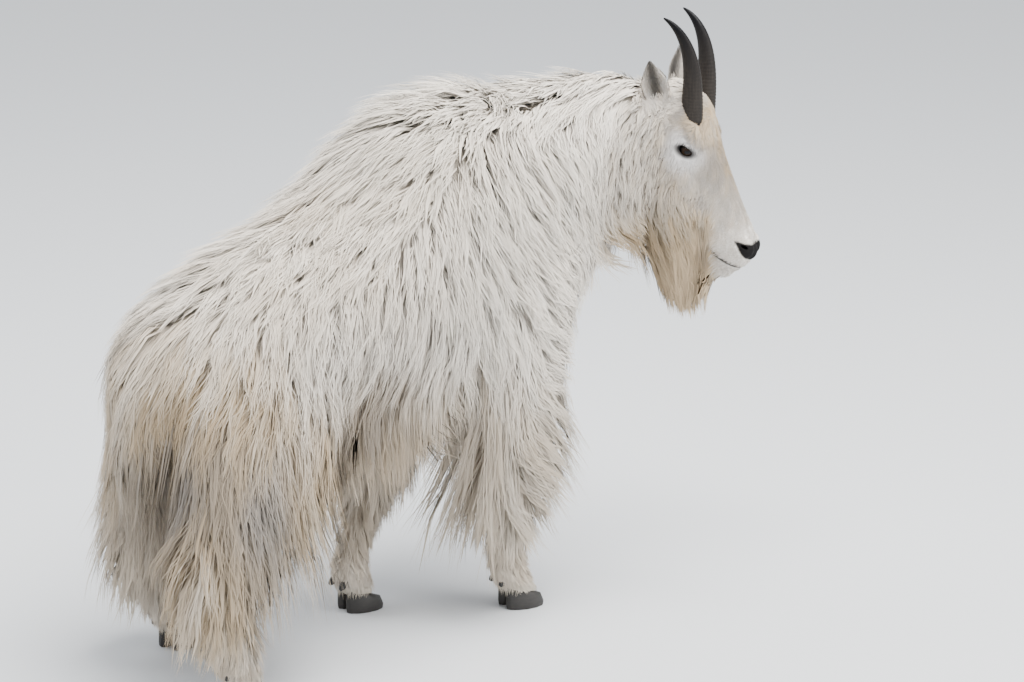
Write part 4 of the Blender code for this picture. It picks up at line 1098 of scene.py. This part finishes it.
def lay_locks(roots, owners, guides, shares, layer_draw):
    """Rows of points and their side and outward ways for tufts that gather into locks round guides."""
    sizes = {key: value[owners] for key, value in guides["sizes"].items()}
    count = len(roots)
    length_share = rng.uniform(0.66, 1.06, count)
    layer = layer_draw(count)
    from_guide = roots - guides["roots"][owners]
    limit = np.maximum(sizes["length"] * 0.35, 0.012)
    reach = np.linalg.norm(from_guide, axis=1)
    offset = from_guide * np.minimum(1.0, limit / np.maximum(reach, 1e-6))[:, None]
    lost = from_guide - offset
    phase = rng.uniform(0.0, 2.0 * math.pi, count)
    turns = rng.uniform(0.7, 1.5, count)
    wave = sizes["wave"] * rng.uniform(0.4, 1.3, count)
    splay = rng.normal(0.0, 0.10, count)
    rows = []
    frames = []
    for share in shares:
        along = share * length_share
        out = unit(at_share(guides["outs"], owners, np.minimum(along, 1.0)))
        ahead = at_share(guides["paths"], owners, along + 0.04)
        behind = at_share(guides["paths"], owners, np.maximum(along - 0.04, 0.0))
        side = unit(np.cross(unit(ahead - behind), out))
        gather = sizes["gather"] * smoothstep(0.0, 1.0, share)
        point = at_share(guides["paths"], owners, along) + offset * (1.0 - gather)[:, None] + lost
        sink = (sizes["depth"] * (1.0 - layer) * 0.62) * share
        point = point - out * sink[:, None]
        sway = (wave * math.sqrt(share) * np.sin(phase + turns * 2.0 * math.pi * share)
                + splay * sizes["length"] * share ** 1.6 * 0.55)
        rows.append(point + side * sway[:, None])
        frames.append((side, out))
    tone = np.clip(0.5 + 0.24 * guides["tone"][owners] + rng.normal(0.0, 0.16, count), 0.0, 1.0)
    return rows, frames, tone


ROOT_SINK = 0.002
ROOT_WIDTH = 0.55
MOST_TRIANGLES = 196000
OFBAKE_PATCH = 0.003
COAT_PROUD = 0.010
FLOOR_GAP = 0.0035
SOFT_TURN = 0.45
# A small green burr caught in the hair of the goat's right side: its middle, radii and slant.
BURR_AT = (-0.240, -0.0957, 0.5726)
BURR_RADII = (0.060, 0.0085, 0.0110)
BURR_LEAN = (0.87, 0.375)
BURR_PIVOT = -0.22


def tuft_faces(levels):
    faces = [(0, 1, 2)]
    for level in range(levels - 1):
        a = level * 3
        b = a + 3
        for step in range(3):
            after = (step + 1) % 3
            faces.append((a + step, b + after, a + after))
            faces.append((a + step, b + step, b + after))
    last = (levels - 1) * 3
    tip = levels * 3
    for step in range(3):
        faces.append((last + step, tip, last + (step + 1) % 3))
    return np.array(faces)


def tuft_bodies(rows, frames, wide, right, thick):
    """Three-sided tapered bodies, with the share of the length, the side and the lit way of each point."""
    count = len(wide)
    levels = len(rows) - 1
    verts = np.empty((count, levels * 3 + 1, 3))
    ways = np.empty((count, levels * 3 + 1, 3))
    tips = np.ones((count, levels * 3 + 1))
    for level, (side, out) in enumerate(frames[:levels]):
        share = level / levels
        width = wide * (ROOT_WIDTH + (1.0 - ROOT_WIDTH) * min(1.0, share * 3.0))
        width = width * (1.0 - max(0.0, share - 0.3) / 0.7) ** 0.7
        half = (width * 0.5)[:, None]
        rise = (width * thick)[:, None]
        base = rows[level]
        first = level * 3
        verts[:, first] = base - side * half - out * rise * 0.4
        verts[:, first + 1] = base + side * half - out * rise * 0.4
        verts[:, first + 2] = base + out * rise * 0.6
        tips[:, first:first + 3] = share
        facing = out.copy()
        facing[:, 2] = np.maximum(facing[:, 2], -0.15)
        facing[:, 0] += 0.5 * np.sign(right) * (out[:, 2] < -0.3)
        facing = unit(facing)
        ways[:, first] = unit(facing - side * SOFT_TURN)
        ways[:, first + 1] = unit(facing + side * SOFT_TURN)
        ways[:, first + 2] = facing
    verts[:, -1] = rows[-1]
    ways[:, -1] = facing
    across = np.tile((-0.5, 0.5, 0.0), levels)
    return verts, tips, np.append(across, 0.0), ways


def within_box(verts, tips):
    """Tufts in the frame, bent back at their tips where they would pass the solids' box."""
    verts = verts + np.array(FRAME_SHIFT)
    low = np.array(cad_low) - COAT_PROUD
    low[2] = FLOOR_GAP
    high = np.array(cad_high) + COAT_PROUD
    beyond = np.maximum(low - verts.min(axis=1), 0.0) - np.maximum(verts.max(axis=1) - high, 0.0)
    return np.clip(verts + beyond[:, None, :] * tips[:, :, None] ** 1.2, low, high).reshape(-1, 3)


def burr_share(verts):
    leaned = verts.copy()
    leaned[..., 1] += BURR_LEAN[0] * (verts[..., 0] - BURR_PIVOT)
    leaned[..., 2] += BURR_LEAN[1] * (verts[..., 0] - BURR_PIVOT)
    return 1.4 * near(leaned, BURR_AT, BURR_RADII)


def tufts(name, rows, frames, wide, tone, uvs, roots, marks, finish, thick, shade):
    """Joined meshes of tufts, each with its UV map, its marks and the soft light of a round lock."""
    verts, tips, across, ways = tuft_bodies(rows, frames, wide, roots[:, 0], thick)
    pattern = tuft_faces(len(rows) - 1)
    per = verts.shape[1]
    burr = burr_share(verts)
    share = MOST_TRIANGLES // len(pattern)
    for number, start in enumerate(range(0, len(wide), share), 1):
        part = slice(start, start + share)
        block = within_box(verts[part], tips[part])
        firsts = np.arange(len(wide[part])) * per
        faces = (pattern[None, :, :] + firsts[:, None, None]).reshape(-1)
        mesh = bpy.data.meshes.new(name)
        mesh.vertices.add(len(block))
        mesh.vertices.foreach_set("co", block.reshape(-1).astype(np.float32))
        mesh.loops.add(len(faces))
        mesh.loops.foreach_set("vertex_index", faces.astype(np.int32))
        mesh.polygons.add(len(faces) // 3)
        mesh.polygons.foreach_set("loop_start", np.arange(0, len(faces), 3, dtype=np.int32))
        mesh.polygons.foreach_set("use_smooth", np.ones(len(faces) // 3, dtype=bool))
        layer = mesh.uv_layers.new(name="OFBake")
        u = uvs[part, 0][:, None] + across * OFBAKE_PATCH
        v = uvs[part, 1][:, None] + (tips[part] - 0.5) * OFBAKE_PATCH
        pairs = np.clip(np.stack([u.reshape(-1), v.reshape(-1)], axis=1)[faces], 0.0, 1.0)
        layer.data.foreach_set("uv", pairs.reshape(-1).astype(np.float32))
        values = {"tip": tips[part] * shade, "tone": np.repeat(tone[part], per)}
        for mark_name in MARKS:
            values[mark_name] = np.repeat(marks[mark_name][part], per)
        values["green"] = np.clip(values["green"] + burr[part].reshape(-1), 0.0, 0.9)
        give_marks(mesh, values)
        mesh.update()
        mesh.validate()
        mesh.normals_split_custom_set_from_vertices(ways[part].reshape(-1, 3).astype(np.float32))
        piece = bpy.data.objects.new("%s_%d" % (name, number), mesh)
        bpy.context.scene.collection.objects.link(piece)
        mesh.materials.append(finish)
        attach(piece, "root")


# Each tuft runs from a darker root, a painted shade of the gaps between locks, to its tip, and its tone
# differs at random from lock to lock.
fleece, flow, shader = new_finish("long_coat")
body_tone = mark(flow, "tone").tint((0.83, 0.750, 0.640, 1.0), (0.955, 0.900, 0.805, 1.0))
lit = (mark(flow, "tip") ** 0.55).tint((0.76, 0.685, 0.59, 1.0), body_tone)
flow.feed(shader, Base_Color=marked(flow, lit), Roughness=0.65, Specular_IOR_Level=0.15)

# The short hair too is darker at its root, a painted shade.
velvet, flow, shader = new_finish("face_coat")
face_tone = mark(flow, "tone").tint((0.60, 0.535, 0.455, 1.0), (0.95, 0.91, 0.85, 1.0))
lit = mark(flow, "tip").tint((0.70, 0.63, 0.55, 1.0), face_tone)
flow.feed(shader, Base_Color=marked(flow, lit), Roughness=0.65, Specular_IOR_Level=0.15)

# The skin takes a painted shade, the colour of shaded hair, where the hair over it is long.
skin_ways = np.empty(len(skin_points) * 3)
skin.data.vertices.foreach_get("normal", skin_ways)
hair_over = coat_sizes(skin_points, skin_ways.reshape(-1, 3))["length"]
give_marks(skin.data, {"below": smoothstep(0.018, 0.040, hair_over)})

# Guides: thinned to a spacing that grows with the length, so that long hair lies in broad locks.
GUIDE_TRIES = 60000
spots, spot_normals, _ = skin_spots(np.ones(len(tri_areas)), GUIDE_TRIES)
spot_sizes = coat_sizes(spots, spot_normals)
long_enough = spot_sizes["length"] > LONG_FROM
spots = spots[long_enough]
spot_normals = spot_normals[long_enough]
spot_sizes = {key: value[long_enough] for key, value in spot_sizes.items()}
spacing = np.interp(spot_sizes["length"], (LONG_FROM, 0.05, 0.09, 0.13), (0.0075, 0.010, 0.0165, 0.0205))
kept = thinned(spots, spacing)
guides = {"roots": spots[kept], "normals": spot_normals[kept],
          "sizes": {key: value[kept] for key, value in spot_sizes.items()}}
guides["sizes"]["length"] = guides["sizes"]["length"] * rng.uniform(0.82, 1.16, len(kept))
guides["sizes"]["depth"] = guides["sizes"]["depth"] * rng.uniform(0.80, 1.10, len(kept))
turn = 0.30 * swirl(guides["roots"], 17.0, 1.1) + rng.normal(0.0, 0.13, len(kept))
guides["paths"], guides["outs"] = guide_paths(guides["roots"], guides["normals"], guides["sizes"], turn)
guides["tone"] = np.clip(rng.normal(0.0, 0.45, len(kept)) + 0.5 * swirl(guides["roots"], 24.0, 0.3),
                         -1.0, 1.0)

# Long hair, and the wider hair under it that closes the gaps. Each tuft takes the stain at its middle.
tri_length = coat_sizes(tri_middles, tri_normals)["length"]
long_weights = np.interp(tri_length, (LONG_FROM, 0.05, 0.09, 0.14), (3.2, 2.3, 1.25, 1.0))
long_weights = np.where(tri_length > LONG_FROM, long_weights, 0.0)
spine = smoothstep(0.2, 0.8, tri_normals[:, 2]) * (tri_middles[:, 2] > 0.70)
guide_tree = tree_of(guides["roots"])
# Name, tufts, more of them along the spine, shares of the length, layer from the skin at 0 to the
# outside at 1, width over the guide's, thickness over the width, shade of the tip: under 1 a painted
# shade.
HAIR = (
    ("long_coat", 51000, 0.0, (0.0, 0.22, 0.46, 0.72, 1.0), lambda count: rng.beta(1.8, 0.9, count),
     (0.7, 1.25), 0.36, 1.0),
    ("under_coat", 13500, 1.6, (0.0, 0.34, 0.67, 1.0), lambda count: rng.uniform(0.05, 0.50, count),
     (3.2, 4.8), 0.16, 0.75),
)
for name, count, more_at_spine, shares, layer_draw, widths, thick, shade in HAIR:
    roots, _, uvs = skin_spots(long_weights * (1.0 + more_at_spine * spine), count)
    owners = np.array([guide_tree.find(root)[1] for root in roots])
    rows, frames, tone = lay_locks(roots, owners, guides, shares, layer_draw)
    wide = guides["sizes"]["wide"][owners] * rng.uniform(*widths, count)
    marks = markings(roots)
    middle_marks = markings(rows[len(rows) // 2])
    marks.update(tan=middle_marks["tan"], grey=middle_marks["grey"], dark=np.zeros(count))
    tufts(name, rows, frames, wide, tone, uvs, roots, marks, fleece, thick, shade)

# Short hair of the face, ears and pasterns, left out at the nose, lips and lids.
SHORT_TUFTS = 21000
short_weights = (tri_length <= SHORT_UP_TO) * (tri_middles[:, 2] > 0.046) * 1.0
short_weights = short_weights * np.where(head_places(tri_middles)["in_head"] > 0.5, 2.0, 1.0)
roots, root_normals, uvs = skin_spots(short_weights, SHORT_TUFTS)
from_eyes = [np.linalg.norm(roots - np.array(head_point(EYE_ALONG, side * (EYE_OUT + EYE_RADIUS), EYE_UP)),
                            axis=1) for side in (1.0, -1.0)]
bare = (markings(roots)["dark"] > 0.35) & (ear_share(roots)[0] < 0.5)
good = ~(bare | (np.minimum(*from_eyes) < 0.0150))
roots = roots[good]
root_normals = root_normals[good]
sizes = coat_sizes(roots, root_normals)
for key in ("length", "depth"):
    sizes[key] = sizes[key] * rng.uniform(0.75, 1.2, len(roots))
paths, outs = guide_paths(roots, root_normals, sizes, rng.normal(0.0, 0.16, len(roots)))
SHORT_LEVELS = (0, 3, 8)
rows = [paths[:, level] for level in SHORT_LEVELS]
frames = []
for level in SHORT_LEVELS[:-1]:
    way = unit(paths[:, level + 1] - paths[:, level])
    frames.append((unit(np.cross(way, outs[:, level])), outs[:, level]))
tone = np.clip(0.60 + 0.25 * swirl(roots, 60.0, 0.7) + 0.32 * swirl(roots * (1.0, 1.0, 0.45), 430.0, 0.2)
               + rng.normal(0.0, 0.20, len(roots)), 0.0, 1.0)
wide = sizes["wide"] * rng.uniform(0.8, 1.3, len(roots))
tufts("short_coat", rows, frames, wide, tone, uvs[good], roots, markings(roots), velvet, 0.26, 1.0)


# Horns: black keratin sheaths over bone cores, round in section, ringed on the lower half and smooth
# and shiny at the tips. They rise from the brow and sweep back, each set in the hair of the crown.
HORN_LENGTH = 0.200
HORN_RADIUS = 0.0185
HORN_BASE_OUT = 0.034
HORN_START = math.radians(87.0)
HORN_CURL = math.radians(66.0)
HORN_BEND = 2.6
HORN_LEAN = math.radians(3.5)
HORN_STEPS = 40
HORN_RINGS = 150
HORN_SIDES = 28
RING_STEP = 0.0060
RING_RISE = 0.0010


def horn_path(side, share):
    forward = 0.0
    rise = 0.0
    for step in range(HORN_STEPS):
        angle = HORN_START + HORN_CURL * (share * (step + 0.5) / HORN_STEPS) ** HORN_BEND
        forward += math.cos(angle) * HORN_LENGTH * share / HORN_STEPS
        rise += math.sin(angle) * HORN_LENGTH * share / HORN_STEPS
    angle = HORN_START + HORN_CURL * share ** HORN_BEND
    out = side * (HORN_BASE_OUT + math.sin(HORN_LEAN) * HORN_LENGTH * share + 0.006 * share * share)
    at = head_point(0.005, 0.0, 0.033) + HEAD_FORWARD * forward + UPWARDS * rise + HEAD_RIGHT * out
    along = (HEAD_FORWARD * math.cos(angle) + UPWARDS * math.sin(angle)
             + HEAD_RIGHT * side * math.sin(HORN_LEAN))
    return at, along.normalized()


def set_in_frame(piece, finish):
    piece.data.shade_smooth()
    piece.data.transform(Matrix.Translation(FRAME_SHIFT))
    piece.data.materials.append(finish)


horn_finish, flow, shader = new_finish("ringed_horn")
length_mark = mark(flow, "length")
streak = grain(flow, 420.0, 4.0, (1.0, 1.0, 0.08))
base = length_mark.tint((0.022, 0.019, 0.017, 1.0), (0.004, 0.004, 0.005, 1.0))
lighter = (streak ** 2.2).tint(base, (0.072, 0.060, 0.050, 1.0))
flow.feed(shader, Base_Color=((1.0 - length_mark) * 0.55).tint(base, lighter),
          Roughness=0.56 - 0.26 * length_mark, Specular_IOR_Level=0.12,
          Normal=ridged(flow, streak, 0.35, 0.0008))
for label, side in (("right", 1.0), ("left", -1.0)):
    rings = []
    lengths = []
    for step in range(HORN_RINGS + 1):
        share = step / HORN_RINGS
        at, along = horn_path(side, share)
        if step == 0:
            at = at - along * 0.012
        across = HEAD_RIGHT.cross(along).normalized()
        out = along.cross(across).normalized()
        radius = HORN_RADIUS * (1.0 - share ** 1.5) ** 0.8 + 0.0012
        phase = HORN_LENGTH * share / RING_STEP + 0.35 * math.sin(9.0 * share)
        ridge = (0.5 - 0.5 * math.cos(2.0 * math.pi * phase)) ** 0.6 * RING_RISE
        radius = radius + (ridge - RING_RISE) * max(0.0, 1.0 - share * 1.45)
        rings.append(oval(at, out, across, radius * 0.84, radius * 1.06, radius * 1.06,
                          count=HORN_SIDES, power=2.0))
        lengths += [min(1.0, max(0.0, share * 1.55 - 0.30))] * HORN_SIDES
    sheath = closed_loft(rings, "horn_sheath_" + label)
    give_marks(sheath.data, {"length": lengths})
    set_in_frame(sheath, horn_finish)
    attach(sheath, "root")
    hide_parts("horn_" + label)

# Eyes: wet, dark brown balls with a wide black pupil, set deep under the brow and behind the lids.
# The clear front is part of the gloss of the ball.
EYE_SLACK = 0.0002
# Sizes as shares of the ball's radius.
IRIS = 0.62
PUPIL_WIDE = 0.42
PUPIL_HIGH = 0.20
eye_finish, flow, shader = new_finish("wet_eye")
colour = mark(flow, "iris").tint((0.008, 0.006, 0.005, 1.0), (0.020, 0.011, 0.006, 1.0))
colour = mark(flow, "pupil").tint(colour, (0.004, 0.004, 0.005, 1.0))
flow.feed(shader, Base_Color=colour, Roughness=0.09, Specular_IOR_Level=0.16)
for label, side in (("right", 1.0), ("left", -1.0)):
    centre = head_point(EYE_ALONG, side * EYE_OUT, EYE_UP)
    eyeball = ball(centre, (EYE_RADIUS - EYE_SLACK,) * 3, segments=48)
    eyeball.name = "eyeball_" + label
    looking = (HEAD_RIGHT * side * 0.93 + HEAD_FORWARD * 0.33 - UPWARDS * 0.12).normalized()
    level = (HEAD_FORWARD - looking * HEAD_FORWARD.dot(looking)).normalized()
    steep = looking.cross(level)
    iris_values = []
    pupil_values = []
    for vert in eyeball.data.vertices:
        out = (vert.co - centre).normalized()
        wide = out.dot(level)
        high = out.dot(steep)
        facing = out.dot(looking) > 0.0
        away = math.hypot(wide, high)
        iris_values.append(float(facing and away < IRIS))
        pupil_values.append(float(facing and math.hypot(wide / PUPIL_WIDE, high / PUPIL_HIGH) < 1.0))
    give_marks(eyeball.data, {"iris": iris_values, "pupil": pupil_values})
    set_in_frame(eyeball, eye_finish)
    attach(eyeball, "root")
    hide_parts("eye_" + label)

# Hooves: eight black horn halves, each with a worn flat sole and fine rings round its wall, and two
# dewclaws behind each pastern. Each half is its solid again, with its edges worn round.

# Feet: x, y and the way that the toes point, in degrees.
FEET = {
    "front_right": (-0.125, -0.332, 12.0),
    "front_left": (0.055, -0.104, 8.0),
    "hind_right": (-0.170, 0.326, 14.0),
    "hind_left": (0.120, 0.250, -12.0),
}
# Dewclaw: share of its length and share of its radius.
DEWCLAW = ((0.0, 0.9), (0.3, 1.0), (0.6, 0.95), (0.85, 0.75), (1.0, 0.35))
DEWCLAW_RADIUS = 0.0078
hoof_finish, flow, shader = new_finish("hoof_horn")
wall = grain(flow, 260.0, 3.0, (0.25, 0.25, 1.0))
dust = grain(flow, 60.0, 4.0) * 0.3
colour = dust.tint(wall.tint((0.007, 0.007, 0.007, 1.0), (0.032, 0.028, 0.025, 1.0)),
                   (0.06, 0.054, 0.047, 1.0))
flow.feed(shader, Base_Color=colour, Roughness=0.5, Normal=ridged(flow, wall, 0.4, 0.0008))
for foot in FEET:
    for half in ("outer", "inner"):
        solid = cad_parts["hoof_%s_%s" % (foot, half)]
        claw = bpy.data.objects.new("claw_%s_%s" % (foot, half), solid.data.copy())
        bpy.context.scene.collection.objects.link(claw)
        select_only(claw)
        bpy.ops.object.mode_set(mode="EDIT")
        bpy.ops.mesh.select_all(action="SELECT")
        bpy.ops.mesh.remove_doubles(threshold=0.0001)
        bpy.ops.mesh.tris_convert_to_quads()
        bpy.ops.object.mode_set(mode="OBJECT")
        worn = claw.modifiers.new("worn", "BEVEL")
        worn.width = 0.0022
        worn.segments = 3
        worn.limit_method = "ANGLE"
        worn.angle_limit = math.radians(28.0)
        apply_all(claw)
        claw.data.shade_smooth()
        claw.data.materials.clear()
        claw.data.materials.append(hoof_finish)
        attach(claw, "root")
        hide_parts("hoof_%s_%s" % (foot, half))
for foot, (x, y, heading) in FEET.items():
    turn = math.radians(heading)
    toe = Vector((-math.sin(turn), -math.cos(turn), 0.0))
    out = toe.cross(UPWARDS)
    spurs = []
    for side in (1.0, -1.0):
        top = Vector((x, y, 0.072)) - toe * 0.022 + out * side * 0.015
        tip_at = Vector((x, y, 0.048)) - toe * 0.046 + out * side * 0.018
        across = (tip_at - top).normalized().cross(out).normalized()
        rings = []
        for share, size in DEWCLAW:
            half = DEWCLAW_RADIUS * size
            rings.append(oval(top.lerp(tip_at, share), out, across, half, half, half, count=16, power=2.0))
        spurs.append(closed_loft(rings, "dewclaw"))
    pair = joined(spurs, "dewclaws_" + foot)
    set_in_frame(pair, hoof_finish)
    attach(pair, "root")

# The room: a wide pale floor in pale, even daylight, with soft lights from above, in front and behind,
# and a long lens that looks a little down on the goat from behind its right side.
FLOOR_HALF = 9.0
bpy.ops.mesh.primitive_plane_add(size=FLOOR_HALF * 2.0, location=(0.0, 0.0, 0.0))
floor = bpy.context.active_object
floor.name = "floor"
floor_finish, flow, shader = new_finish("pale_floor")
flow.feed(shader, Base_Color=(0.72, 0.74, 0.76, 1.0), Roughness=0.9)
floor.data.materials.append(floor_finish)
floor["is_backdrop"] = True

CAMERA_TURN = math.radians(228.0)
CAMERA_DROP = math.radians(16.0)
CAMERA_AWAY = 7.0
CAMERA_LENS = 136.05
AIM = Vector((-0.125, -0.31, 0.0))
# The aim lies this many pixels of the photo beside and under the middle of the view.
FOCAL_PIXELS = 3870.0
AIM_BESIDE_PIXELS = 4.0
AIM_UNDER_PIXELS = 266.0
sight = Vector((-math.sin(CAMERA_TURN) * math.cos(CAMERA_DROP),
                math.cos(CAMERA_TURN) * math.cos(CAMERA_DROP), -math.sin(CAMERA_DROP)))
camera_right = Vector((math.cos(CAMERA_TURN), math.sin(CAMERA_TURN), 0.0))
camera_up = camera_right.cross(sight)
camera_data = bpy.data.cameras.new("camera")
camera = bpy.data.objects.new("camera", camera_data)
bpy.context.scene.collection.objects.link(camera)
camera.matrix_world = Matrix((camera_right, camera_up, -sight)).transposed().to_4x4()
per_pixel = CAMERA_AWAY / FOCAL_PIXELS
camera.location = (AIM + FRAME_SHIFT + camera_right * AIM_BESIDE_PIXELS * per_pixel
                   + camera_up * AIM_UNDER_PIXELS * per_pixel - sight * CAMERA_AWAY)
camera_data.lens = CAMERA_LENS
camera_data.clip_end = 60.0
bpy.context.scene.camera = camera

world = bpy.data.worlds.new("room")
bpy.context.scene.world = world
world.use_nodes = True
air = world.node_tree.nodes["Background"]
air.inputs["Color"].default_value = (0.95, 0.97, 1.0, 1.0)
air.inputs["Strength"].default_value = 1.10

LIGHTS_AIM = 0.5


def soft_light(name, place, size, power, colour):
    """A square lamp turned to the goat's middle height."""
    data = bpy.data.lights.new(name, "AREA")
    data.size = size
    data.energy = power
    data.color = colour
    lamp = bpy.data.objects.new(name, data)
    bpy.context.scene.collection.objects.link(lamp)
    lamp.location = place
    lamp.rotation_euler = (UPWARDS * LIGHTS_AIM - Vector(place)).to_track_quat("-Z", "Y").to_euler()


soft_light("overcast", (-1.0, -0.3, 4.2), 3.2, 420.0, (1.0, 0.99, 0.97))
soft_light("front_fill", (-3.6, -1.6, 2.2), 2.4, 75.0, (1.0, 0.98, 0.95))
soft_light("back_rim", (2.8, 1.8, 3.2), 2.0, 60.0, (0.94, 0.97, 1.0))

low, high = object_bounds()
